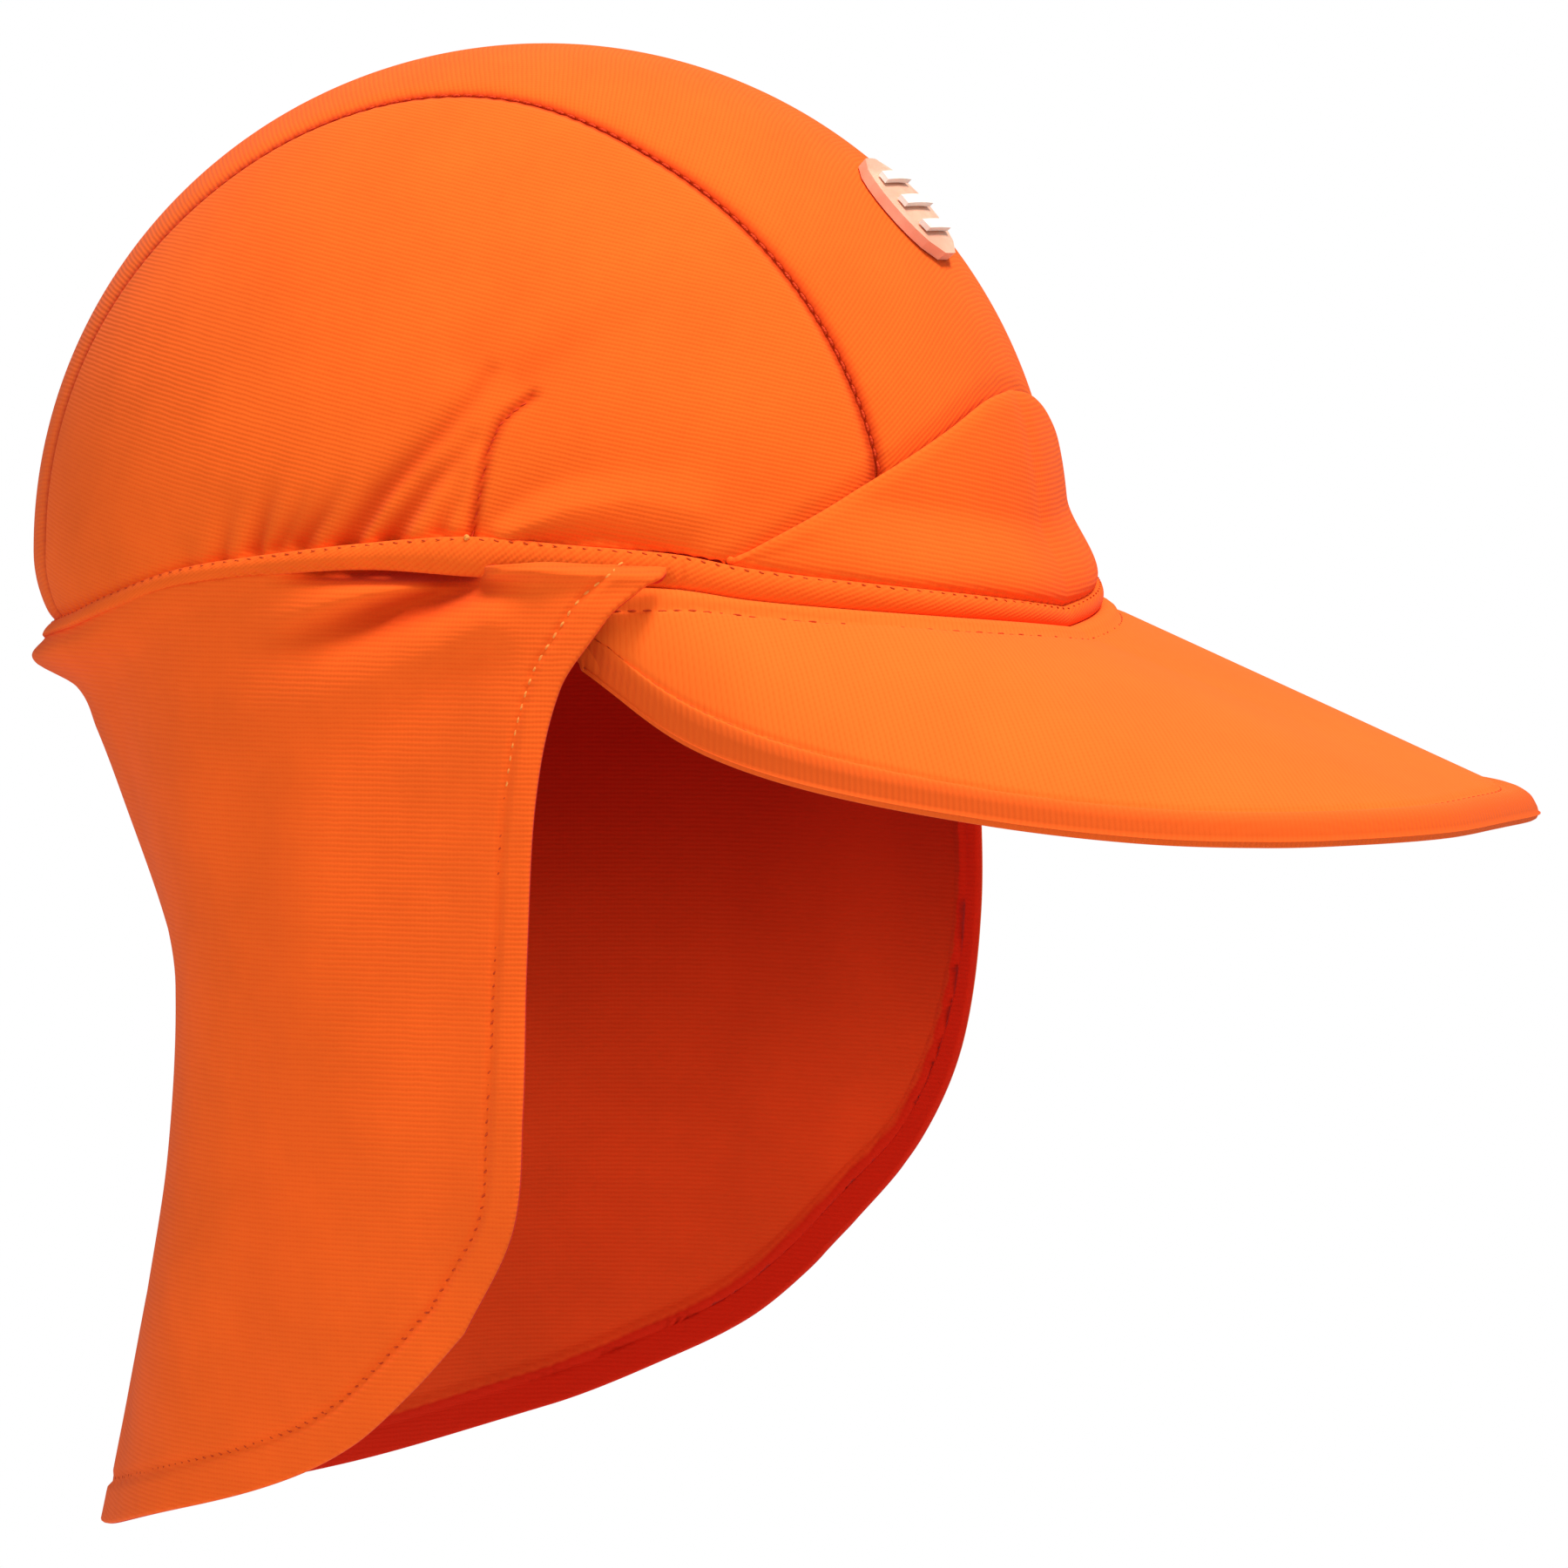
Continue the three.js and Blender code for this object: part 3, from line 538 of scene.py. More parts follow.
def band_face(angle, v):
    """Outer face of the headband: v runs from its upper edge to its lower one."""
    size = np.abs(angle)
    low, high = band_bottom(size) - 0.15, band_top(size) + 0.1
    swell = 0.75 * np.sin(math.pi * np.clip(v, 0, 1)) ** 0.6 * np.clip((high - low) / 4, 0.45, 1)
    along = np.radians(size) * 82
    pinch = 0.22 * pucker(along) * np.exp(-((v / 0.2) ** 2))
    join = 0.4 * np.exp(-(((size - 48.5) * 1.35 / 0.45) ** 2))
    rope = smooth_step(74, 79, size) * (1 - smooth_step(103, 112, size)) * np.exp(-(((v - 0.86) / 0.16) ** 2))
    join = join + rope * (0.5 - 0.45 * pucker(along + v * 4.0, 2.4))
    flare = 1.5 * smooth_step(112, 150, size) * v
    return band_middle(angle, mix(high, low, v), BAND_WALL / 2 - 0.35 + swell - pinch - join + flare)


def flat_flap(angle, height):
    """Places on the flap's flat pattern: distance round from the front and height, in millimetres."""
    return stack(np.radians(np.abs(angle)) * FLAP_HALF_WIDTH, height, 0)[..., :2]


def flap_outline(side, count=260):
    """The flap's free edge on one side, from its top corner down and round to the back, on the flat pattern."""
    down = np.linspace(0, 1, count)
    edge = flat_flap(*flap_place(np.full(count, float(side)), down))
    hem = flat_flap(*flap_place(side * (1 - down[1:]) + side * 1e-6, np.ones(count - 1)))
    return np.concatenate([edge, hem])


def hem_place(angle, height):
    """Distance from the flap's free edge, with the stitch line at HEM_LOWER, and the way along that edge."""
    distance = np.full(angle.shape, 99.0)
    way = np.zeros(angle.shape)
    places = flat_flap(angle, height)
    for side in (-1, 1):
        near = np.sign(angle) == side
        gap, along = nearest_on(flap_outline(side), places[near])
        distance[near] = gap * HEM_LOWER / read_table(HEM_SHARE, "along", "width", along)
        way[near] = along
    return distance, way


def hem_line(side, low, high, count=900):
    """Places along the stitch line of the flap's hem on one side, between two distances from its top."""
    line = flap_outline(side, 600)
    starts = ways_along(line)
    way = unit(np.gradient(line, starts, axis=0))
    width = read_table(HEM_SHARE, "along", "width", starts)[:, None]
    inner = line + np.stack([-way[:, 1], way[:, 0]], axis=-1) * width
    at = np.linspace(low, min(high, starts[-1]), count)
    angle = side * np.degrees(np.interp(at, starts, inner[:, 0]) / FLAP_HALF_WIDTH)
    return flap_skin(angle, np.interp(at, starts, inner[:, 1]))


def flap_lip(size, height):
    """How much of the raised lip a place near the flap's front corners has, and its distance below the top edge."""
    below_top = np.maximum(0, band_bottom(size) - 2 * SEAM_GAP - height)
    return smooth_step(FLAP_LIP[1], FLAP_LIP[0], size) * np.exp(-((below_top / 5.2) ** 2)), below_top


def flap_sink(angle, height):
    """How far the folds and the pocket under the headband sink the flap."""
    size = np.abs(angle)
    lip, below_top = flap_lip(size, height)
    places = np.stack([np.radians(size) * HEAD_HALF_WIDTH, height + LIP_RISE * lip], axis=-1)
    sink = sum(line_relief(places, fold) for fold in FLAP_FOLDS)
    pocket = smooth_step(*FLAP_POCKET[:2], size) * (1 - smooth_step(*FLAP_POCKET[2:], size))
    return sink + POCKET_DEPTH * pocket * np.exp(-((below_top / POCKET_HEIGHT) ** 2))


def flap_skin(angle, height):
    """Outer face of the neck flap with its folds and hem, at an angle from the front and a height."""
    lip, below_top = flap_lip(np.abs(angle), height)
    roll = smooth_step(108, 158, np.abs(angle)) * np.exp(-((below_top / 6.0) ** 2))
    point = flap_point(angle, height)
    sewn = np.exp(-((below_top / 0.8) ** 2))
    behind = smooth_step(108, 140, np.abs(angle)) * sewn
    point[..., 2] += LIP_RISE * lip + ROLL_RISE * roll * smooth_step(0, 1.2, below_top) + 0.9 * behind
    sink = flap_sink(angle, height) - LIP_PROUD * lip - ROLL_PROUD * roll + 2.2 * lip * sewn + 0.5 * behind
    hem, along = hem_place(angle, height)
    sink = sink + (0.4 + 0.25 * pucker(along, 2.1)) * np.exp(-(((hem - HEM_LOWER) / 0.75) ** 2))
    sink = sink - 0.4 * smooth_step(HEM_LOWER - 0.2, HEM_LOWER - 1.4, hem)
    wavy = np.exp(-((hem / 9) ** 2)) * smooth_step(15, 45, along)
    sink = sink + 0.35 * np.sin(along / 8.8 + 1.0) * wavy
    return point - from_axis(point) * sink[..., None]


def peak_face(u, v, under):
    """Upper or lower face of the peak: u runs round from -1 to 1, v from its root to its rim."""
    root, rim = peak_root(u), peak_rim(u)
    span = np.linalg.norm(rim - root, axis=-1)
    middle = mix(root, rim, v[..., None])
    middle[..., 2] += 0.6 * np.sin(math.pi * v)
    from_rim = (1 - v) * span
    from_root = v * span
    channel = np.minimum(EDGE_CHANNEL, 0.4 * span)
    inside = np.clip(from_rim / channel, 0, 1)
    swell = np.sqrt(np.maximum(0, 1 - (1 - np.minimum(1, inside / 0.6 + 0.001)) ** 2))
    rolled = mix(EDGE_WALL / 2 * swell, PEAK_WALL / 2, smooth_step(0.6, 1, inside))
    half = np.where(inside < 1, rolled, PEAK_WALL / 2)
    along = u * 150.0
    groove = (0.4 + 0.12 * pucker(along)) * np.exp(-(((from_rim - channel) / 0.7) ** 2))
    fade = smooth_step(2.0, 6.0, span)
    root_line = np.minimum(4.4, 0.3 * span)
    groove += (0.4 + 0.15 * pucker(along)) * np.exp(-(((from_root - root_line) / 0.7) ** 2)) * fade
    roll = 0.8 * np.sin(math.pi * np.clip(from_root / root_line, 0, 1)) * fade
    if under:
        lift = -(half - groove * 0.8)
        lift += 0.35 * np.exp(-(((from_rim - 2.2) / 0.35) ** 2))
    else:
        lift = half - groove + roll
    middle[..., 2] += lift * 0.94
    out = from_axis(middle) * (np.clip(lift, -3, 3) * 0.3)[..., None]
    return middle + out * np.minimum(1, from_rim / 2.0)[..., None]


# Rows of faces round the rim of a piece of cloth
RIM_STEPS = 5
# Radius of the side panels' flat pattern, in millimetres
SIDE_PATTERN_RADIUS = 80.0


def evenly(count, low=0.0, high=1.0, crowd=0.0):
    """Evenly spread values, crowded towards both ends by a share."""
    t = np.linspace(0, 1, count)
    t = t - crowd * np.sin(2 * math.pi * t) / (2 * math.pi)
    return low + (high - low) * t


def grid_normals(points, closed=False):
    """Directions square to the surface of a grid of points."""
    if closed:
        along = np.roll(points, -1, axis=0) - np.roll(points, 1, axis=0)
    else:
        along = np.gradient(points, axis=0)
    return unit(np.cross(along, np.gradient(points, axis=1)))


def border_loops(columns, rows, closed):
    """The borders of a grid as lists of (column, row), each with the cloth on its left."""
    if closed:
        return [[(i, 0) for i in range(columns)], [(i, rows - 1) for i in reversed(range(columns))]]
    loop = [(i, 0) for i in range(columns - 1)] + [(columns - 1, j) for j in range(rows - 1)]
    loop += [(i, rows - 1) for i in range(columns - 1, 0, -1)] + [(0, j) for j in range(rows - 1, 0, -1)]
    return [loop]


def cloth(name, outer, inner, pattern, materials, closed=False, rim=0.4, marks=None):
    """A closed piece of cloth from grids of its outer and inner face in millimetres, with rounded rims.

    pattern gives each grid point its place on the flat knit, in millimetres. marks gives named values that the
    cloth's finish follows. A second material, where given, is the inside's and the rims'.
    """
    columns, rows = outer.shape[:2]
    normal = grid_normals(outer, closed)
    turned = float(np.sum(normal * (outer - inner))) < 0
    index = np.arange(columns * rows).reshape(columns, rows)
    if closed:
        index = np.concatenate([index, index[:1]])
    quads = np.stack([index[:-1, :-1], index[1:, :-1], index[1:, 1:], index[:-1, 1:]], axis=-1).reshape(-1, 4)
    points = [outer.reshape(-1, 3), inner.reshape(-1, 3)]
    flats = [pattern.reshape(-1, 2)] * 2
    faces = [quads, quads[:, ::-1] + columns * rows]
    inside_slot = len(materials) - 1
    slots = [np.zeros(len(quads), int), np.full(len(quads), inside_slot)]
    total = 2 * columns * rows
    border = []
    for loop in border_loops(columns, rows, closed):
        at = np.array(loop)
        top, low = outer[at[:, 0], at[:, 1]], inner[at[:, 0], at[:, 1]]
        inside = at.copy()
        inside[:, 1] = np.clip(at[:, 1], 1, rows - 2)
        if not closed:
            inside[:, 0] = np.clip(at[:, 0], 1, columns - 2)
        middle, half = (top + low) / 2, (top - low) / 2
        along = unit(np.roll(middle, -1, axis=0) - np.roll(middle, 1, axis=0))
        outward = unit(np.cross(along, half))
        inwards = outer[inside[:, 0], inside[:, 1]] - top
        if float(np.sum(outward * inwards)) > 0:
            outward = -outward
        before = at[:, 0] * rows + at[:, 1]
        for step in range(1, RIM_STEPS + 1):
            if step == RIM_STEPS:
                ring = at[:, 0] * rows + at[:, 1] + columns * rows
            else:
                bend = math.pi * step / RIM_STEPS
                points.append(middle + half * math.cos(bend) + outward * rim * math.sin(bend))
                flats.append(pattern[at[:, 0], at[:, 1]])
                border.append(at)
                ring = total + np.arange(len(at))
                total += len(at)
            faces.append(np.stack([np.roll(before, -1), before, ring, np.roll(ring, -1)], axis=-1))
            slots.append(np.full(len(at), inside_slot if step > RIM_STEPS // 2 else 0))
            before = ring
    faces = np.concatenate(faces)
    if turned:
        faces = faces[:, ::-1]
    flat, slot = np.concatenate(flats), np.concatenate(slots)
    piece = make_piece(name, np.concatenate(points), faces, materials, flat, slot)
    for mark, grid in (marks or {}).items():
        rims = [grid[at[:, 0], at[:, 1]] for at in border]
        values = np.concatenate([grid.reshape(-1), grid.reshape(-1), *rims])
        layer = piece.data.attributes.new(mark, "FLOAT", "POINT")
        layer.data.foreach_set("value", values.astype(np.float32))
    return piece


def make_piece(name, points, faces, materials, pattern=None, slots=None):
    """A smooth mesh object from points in millimetres."""
    mesh = bpy.data.meshes.new(name)
    mesh.from_pydata((points * MM).tolist(), [], faces.tolist())
    if pattern is not None:
        layer = mesh.uv_layers.new(name="knit")
        corners = np.empty(len(mesh.loops), int)
        mesh.loops.foreach_get("vertex_index", corners)
        layer.data.foreach_set("uv", (pattern[corners] * MM).astype(np.float32).ravel())
    for material in materials:
        mesh.materials.append(material)
    if slots is not None:
        mesh.polygons.foreach_set("material_index", slots.astype(np.int32))
    mesh.shade_smooth()
    mesh.update()
    piece = bpy.data.objects.new(name, mesh)
    bpy.context.scene.collection.objects.link(piece)
    return piece


def below(outer, wall, outward=from_crown_middle):
    """The inner face of a cloth wall, whose thickness is one number or one for each point."""
    normal = grid_normals(outer)
    if float(np.sum(normal * outward(outer))) < 0:
        normal = -normal
    return outer - normal * np.asarray(wall)[..., None]


def side_pattern(points, tilt):
    """Places on a side panel's flat knit, spread from the middle of the panel's bulge and turned a little."""
    way = from_crown_middle(points)
    reach = np.arccos(np.clip(np.abs(way[..., 0]), 0, 1)) * SIDE_PATTERN_RADIUS
    flat = unit(way[..., 1:]) * reach[..., None]
    turn = math.radians(tilt)
    across = flat[..., 0] * math.cos(turn) - flat[..., 1] * math.sin(turn)
    up = flat[..., 0] * math.sin(turn) + flat[..., 1] * math.cos(turn)
    return np.stack([across, up], axis=-1)


def thread(name, stitches, material):
    """Stitches as short rounded lengths of thread, each from (start, end, outward direction, half width, rise)."""
    sides = 6
    starts, ends, outs, widths, rises = (np.array(part, float) for part in zip(*stitches))
    along = (ends - starts) / 2
    middle = (starts + ends) / 2
    outs = unit(outs)
    across = unit(np.cross(along, outs))
    places = ((-0.82, 0.6), (-0.35, 1.0), (0.35, 1.0), (0.82, 0.6))
    rings = [(middle - along)[:, None]]
    for place, size in places:
        turn = np.arange(sides) * 2 * math.pi / sides
        ring = (middle + along * place)[:, None] + (outs * (rises * (1 - place * place))[:, None])[:, None]
        ring = ring + across[:, None] * (np.cos(turn) * size)[None, :, None] * widths[:, None, None]
        ring = ring + outs[:, None] * (np.sin(turn) * size * 0.75)[None, :, None] * widths[:, None, None]
        rings.append(ring)
    rings.append((middle + along)[:, None])
    points = np.concatenate(rings, axis=1)
    each = points.shape[1]
    last = 1 + sides * (len(places) - 1)
    triangles = []
    for k in range(sides):
        after = (k + 1) % sides
        triangles.append((0, 1 + after, 1 + k))
        for base in range(1, last, sides):
            corner, ahead = base + k, base + after
            triangles += [(corner, ahead, ahead + sides), (corner, ahead + sides, corner + sides)]
        triangles.append((last + k, last + after, each - 1))
    shift = np.arange(len(stitches))[:, None, None] * each
    every = (np.array(triangles)[None] + shift).reshape(-1, 3)
    return make_piece(name, points.reshape(-1, 3), every, (material,))


def spaced(path, pitch, length):
    """Starts and ends of stitches along a line of points."""
    run = ways_along(path)
    begin = np.arange(0.0, run[-1] - length, pitch)

    def at(distance):
        return np.stack([np.interp(distance, run, path[:, k]) for k in range(3)], axis=-1)

    return at(begin), at(begin + length)


def stitch_line(path, outward, pitch, length, width, rise, slant=0.0):
    """Stitches along a line, turned by a slant across it in millimetres."""
    starts, ends = spaced(path, pitch, length)
    outs = outward((starts + ends) / 2)
    across = unit(np.cross(ends - starts, outs)) * slant
    return [(a - c / 2, b + c / 2, o, width, rise) for a, b, c, o in zip(starts, ends, across, outs)]


def linear(code):
    """A colour in linear light from its sRGB hex code."""
    parts = [int(code[k : k + 2], 16) / 255 for k in (1, 3, 5)]
    return tuple(p / 12.92 if p <= 0.04045 else ((p + 0.055) / 1.055) ** 2.4 for p in parts) + (1.0,)


def add_node(tree, kind, settings=None, values=None, links=None):
    """A node with its settings, its sockets' own values and its incoming links."""
    node = tree.nodes.new(kind)
    for name, value in (settings or {}).items():
        setattr(node, name, value)
    for socket, value in (values or {}).items():
        node.inputs[socket].default_value = value
    for socket, source in (links or {}).items():
        tree.links.new(source, node.inputs[socket])
    return node


def start_material(name, shader_values):
    """A material whose shader has some values of its own, with its tree and its shader."""
    material = bpy.data.materials.new(name)
    material.use_nodes = True
    tree = material.node_tree
    shader = tree.nodes["Principled BSDF"]
    for socket, value in shader_values.items():
        shader.inputs[socket].default_value = value
    return material, tree, shader


def wave(tree, direction, vector, values):
    """Bands across a direction."""
    settings = {"wave_type": "BANDS", "bands_direction": direction, "wave_profile": "SIN"}
    return add_node(tree, "ShaderNodeTexWave", settings, values, {"Vector": vector}).outputs["Fac"]


def noise(tree, vector, scale, detail, roughness=0.5):
    """Soft random patches."""
    values = {"Scale": scale, "Detail": detail, "Roughness": roughness}
    return add_node(tree, "ShaderNodeTexNoise", values=values, links={"Vector": vector}).outputs["Fac"]


def maths(tree, operation, *inputs):
    """A maths node, each of whose inputs is a number or another node's output."""
    numbers = {k: value for k, value in enumerate(inputs) if isinstance(value, float)}
    links = {k: value for k, value in enumerate(inputs) if k not in numbers}
    return add_node(tree, "ShaderNodeMath", {"operation": operation}, numbers, links).outputs[0]


def remap(tree, value, low, high, start=0.0, end=1.0, curve="LINEAR"):
    """A value whose run from low to high is spread from start to end."""
    values = {"From Min": low, "From Max": high, "To Min": start, "To Max": end}
    node = add_node(tree, "ShaderNodeMapRange", {"interpolation_type": curve}, values, {"Value": value})
    return node.outputs["Result"]


def ramp(tree, value, dark, light, low=0.0, high=1.0):
    """The colours between dark at low and light at high."""
    node = add_node(tree, "ShaderNodeValToRGB", links={"Fac": value})
    for stop, place, code in zip(node.color_ramp.elements, (low, high), (dark, light)):
        stop.position = place
        stop.color = linear(code)
    return node.outputs["Color"]


def blend(tree, share, colour, code):
    """A share of a plain colour mixed into another node's colour."""
    settings = {"data_type": "RGBA", "blend_type": "MIX"}
    return add_node(tree, "ShaderNodeMix", settings, {7: linear(code)}, {0: share, 6: colour}).outputs[2]


def mark_of(tree, name):
    """A value that the cloth's mesh carries."""
    return add_node(tree, "ShaderNodeAttribute", {"attribute_name": name}).outputs["Fac"]


def object_place(tree):
    """The place of a point on its own object."""
    return add_node(tree, "ShaderNodeTexCoord").outputs["Object"]


def cover(tree, shader, colour, relief=None, strength=0.0, distance=0.1):
    """Give the shader its colour, and a relief whose greatest height is in millimetres."""
    tree.links.new(colour, shader.inputs["Base Color"])
    if relief:
        values = {"Strength": strength, "Distance": distance * MM}
        bump = add_node(tree, "ShaderNodeBump", values=values, links={"Height": relief})
        tree.links.new(bump.outputs[0], shader.inputs["Normal"])


def knit(
    name,
    ridge,
    groove,
    turn=0.0,
    course=0.8,
    depth=0.22,
    mottle=0.1,
    hem=None,
    deep=None,
    crease=None,
    rolled=None,
):
    """Fine polyester jersey: matt, with courses of loops a little under a millimetre apart.

    The courses show as thin darker lines, broken by the loops and by uneven yarn, with a soft sheen at the edges.
    The last four colours, where given, are painted shade: on the inside of the doubled hem, on the inside near the
    crown, deep in a fold and on a rolled edge.
    """
    matt = {"Roughness": 0.88, "Sheen Weight": 0.03, "Sheen Roughness": 0.5, "IOR": 1.45, "Specular IOR Level": 0.12}
    material, tree, shader = start_material(name, matt)
    flat = add_node(tree, "ShaderNodeUVMap", {"uv_map": "knit"}).outputs[0]
    rotation = {"Rotation": (0, 0, math.radians(turn))}
    turned = add_node(tree, "ShaderNodeMapping", values=rotation, links={"Vector": flat}).outputs[0]
    # A wave repeats every tenth of pi, so this scale gives one course every so many millimetres
    scale = math.pi / 10 / (course * MM)
    rows = {"Scale": scale, "Distortion": 1.5, "Detail": 2.0, "Detail Scale": 0.6, "Detail Roughness": 0.6}
    loops = {"Scale": scale * 1.15, "Distortion": 2.0, "Detail": 2.0, "Detail Scale": 1.0}
    knitted = maths(tree, "MULTIPLY_ADD", wave(tree, "X", turned, loops), 0.3, wave(tree, "Y", turned, rows))
    uneven = maths(tree, "MULTIPLY_ADD", noise(tree, flat, 420.0, 3.0, 0.6), 0.6, knitted)
    shade = remap(tree, noise(tree, flat, 38.0, 4.0, 0.62), 0.3, 0.7, 1 - mottle, 1 + mottle / 3)
    links = {"Vector": ramp(tree, uneven, groove, ridge, 0.2, 0.95), "Scale": shade}
    colour = add_node(tree, "ShaderNodeVectorMath", {"operation": "SCALE"}, links=links).outputs[0]
    relief = uneven
    if deep:
        # Painted shade: the inside is painted a deeper red towards the crown, where less light reaches
        height = add_node(tree, "ShaderNodeSeparateXYZ", links={"Vector": object_place(tree)}).outputs["Z"]
        colour = blend(tree, remap(tree, height, -0.105, -0.02, curve="SMOOTHSTEP"), colour, deep)
    if crease:
        # Painted shade: the crease mark paints the knit a deeper red in folds, the dart, the seams and the flap's
        # pocket, standing for the shade and the reddened light between a fold's walls
        colour = blend(tree, mark_of(tree, "crease"), colour, crease)
    if hem:
        # Painted shade: the inside of the doubled hem is painted a deeper red
        doubled = remap(tree, mark_of(tree, "hem_distance"), HEM_LOWER + 0.15, HEM_LOWER - 0.15)
        colour = blend(tree, doubled, colour, hem)
    if rolled:
        # The knit is stretched flat over the pad and bunches into ribs where it rolls round the edge. The same mark
        # paints shade onto the rolled edge
        bunched_and_shaded = mark_of(tree, "rolled")
        relief = maths(tree, "MULTIPLY", maths(tree, "ADD", bunched_and_shaded, 0.25), uneven)
        colour = blend(tree, maths(tree, "MULTIPLY", bunched_and_shaded, 0.7), colour, rolled)
    cover(tree, shader, colour, relief, depth, 0.25)
    return material


def sewing_thread(name, light, dark):
    """Spun polyester sewing thread: matt, with fine darker twists across it."""
    material, tree, shader = start_material(name, {"Roughness": 0.8, "IOR": 1.5, "Specular IOR Level": 0.15})
    every = {"Scale": math.pi / 10 / (0.35 * MM), "Distortion": 2.0, "Detail": 1.0}
    cover(tree, shader, ramp(tree, wave(tree, "DIAGONAL", object_place(tree), every), dark, light))
    return material


def moulded(name, light, dark, roughness, glow=0.0):
    """Soft moulded plastic: satin, with a faint grain and slight cloudiness from the mould."""
    satin = {"Roughness": roughness, "IOR": 1.49, "Subsurface Weight": glow}
    material, tree, shader = start_material(name, satin)
    shader.inputs["Subsurface Radius"].default_value = (0.002, 0.001, 0.0007)
    place = object_place(tree)
    colour = ramp(tree, noise(tree, place, 160.0, 2.0), dark, light, 0.35, 0.65)
    cover(tree, shader, colour, noise(tree, place, 900.0, 3.0, 0.6), 0.15, 0.1)
    return material


def studio_surface(name, light, dark):
    """Seamless background paper: plain, pale and matt, with a barely visible tooth."""
    material, tree, shader = start_material(name, {"Roughness": 0.95, "IOR": 1.4, "Specular IOR Level": 0.1})
    cover(tree, shader, ramp(tree, noise(tree, object_place(tree), 60.0, 2.0), dark, light))
    return material


def hex_of(colour):
    """The sRGB hex code of a colour property."""
    return "#" + "".join(f"{round(max(0, min(1, c)) * 255):02X}" for c in colour[:3])


def colour_property(name, description, code):
    """A colour setting with its sRGB hex code."""
    parts = [int(code[k : k + 2], 16) / 255 for k in (1, 3, 5)]
    return bpy.props.FloatVectorProperty(
        name=name, description=description, default=parts, subtype="COLOR_GAMMA", size=3, min=0, max=1
    )


def length_property(name, description, millimetres):
    """A length setting, shown in metres."""
    length = {"subtype": "DISTANCE", "unit": "LENGTH", "precision": 5, "min": 0.0}
    return bpy.props.FloatProperty(name=name, description=description, default=millimetres * MM, **length)


class CapCloth(bpy.types.PropertyGroup):
    """Colours of the knit, and the distance between its courses."""

    crown: colour_property("Crown", "Ridges of the crown's knit", "#FF681C")
    crown_groove: colour_property("Crown grooves", "Grooves between the crown's courses", "#F95E17")
    peak: colour_property("Peak", "Ridges of the peak's knit", "#FF6F22")
    peak_groove: colour_property("Peak grooves", "Grooves between the peak's courses", "#FA671C")
    # Painted shade on the peak's rolled edge
    rolled: colour_property("Rolled edge", "Knit bunched round the peak's rim", "#E4561A")
    flap: colour_property("Flap", "Ridges of the flap's knit outside", "#FF651C")
    flap_groove: colour_property("Flap grooves", "Grooves between the flap's courses", "#F95C18")
    # Painted shade: the flap's inside is a darker, redder copy of its knit
    flap_inside_shaded: colour_property("Flap inside", "The flap's inside, lit through the cloth", "#F24E1C")
    # Painted shade: the colour painted into folds, the dart, the seams and the flap's pocket
    crease: colour_property("Crease", "Knit deep in a fold", "#D23C08")
    # Painted shade on the flap's inside near the crown
    inside_top_shade: colour_property("Deep inside", "The flap's inside near the crown, where little light gets", "#B01804")
    # Painted shade on the inside of the doubled hem
    hem_inside_shade: colour_property("Hem inside", "The doubled hem seen from inside", "#D8240A")
    course: length_property("Course", "Distance between courses of the knit", 0.8)


class CapSeams(bpy.types.PropertyGroup):
    """Sizes and colours of the stitches."""

    thread: colour_property("Thread", "Stitches sunk in the crown's seams", "#E0481C")
    pale_thread: colour_property("Pale thread", "Stitches at the top of the flap's hem", "#F7A04A")
    dark_thread: colour_property("Dark thread", "Stitches lower on the flap's hem", "#D8501E")
    pitch: length_property("Stitch pitch", "Distance from one stitch to the next", 2.1)
    width: length_property("Thread width", "Half the width of a stitch", 0.28)


class CapStudio(bpy.types.PropertyGroup):
    """Camera and lights."""

    distance: length_property("Camera distance", "From the middle of the view to the camera", 1300)
    turn: bpy.props.FloatProperty(
        name="Camera turn", description="Turn of the camera round the cap", default=math.radians(-66), subtype="ANGLE"
    )
    height: bpy.props.FloatProperty(
        name="Camera elevation", description="Angle of the camera above level", default=math.radians(4), subtype="ANGLE"
    )
    key_light: bpy.props.FloatProperty(
        name="Key light", description="Power of the large soft light", default=17.5, min=0, unit="POWER"
    )
    sky: bpy.props.FloatProperty(name="Surround", description="Brightness of the white surround", default=0.43, min=0)


def knit_for(name, ridge, groove, turn=0.0, **more):
    """The knit in two of the cap's colours."""
    return knit(name, hex_of(ridge), hex_of(groove), turn, bpy.context.scene.cap_cloth.course / MM, **more)


def stand_for(piece, *nodes, slot):
    """Put a dressed piece in place of its solids."""
    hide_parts(*nodes)
    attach(piece, "root")


# Walls of the dressed pieces in millimetres, a little thinner than the solids to leave room for folds
PANEL_WALL = 0.9
FOREHEAD_WALL = 1.3
STRIP_WALL = 1.9
# The flat patterns: millimetres of knit to a degree round the head, half the forehead panel's length, and the
# direction of the peak's courses
BAND_KNIT = 1.43
FLAP_KNIT = 1.38
FOREHEAD_KNIT = 62.0
PEAK_COURSES = (0.75, 0.66)


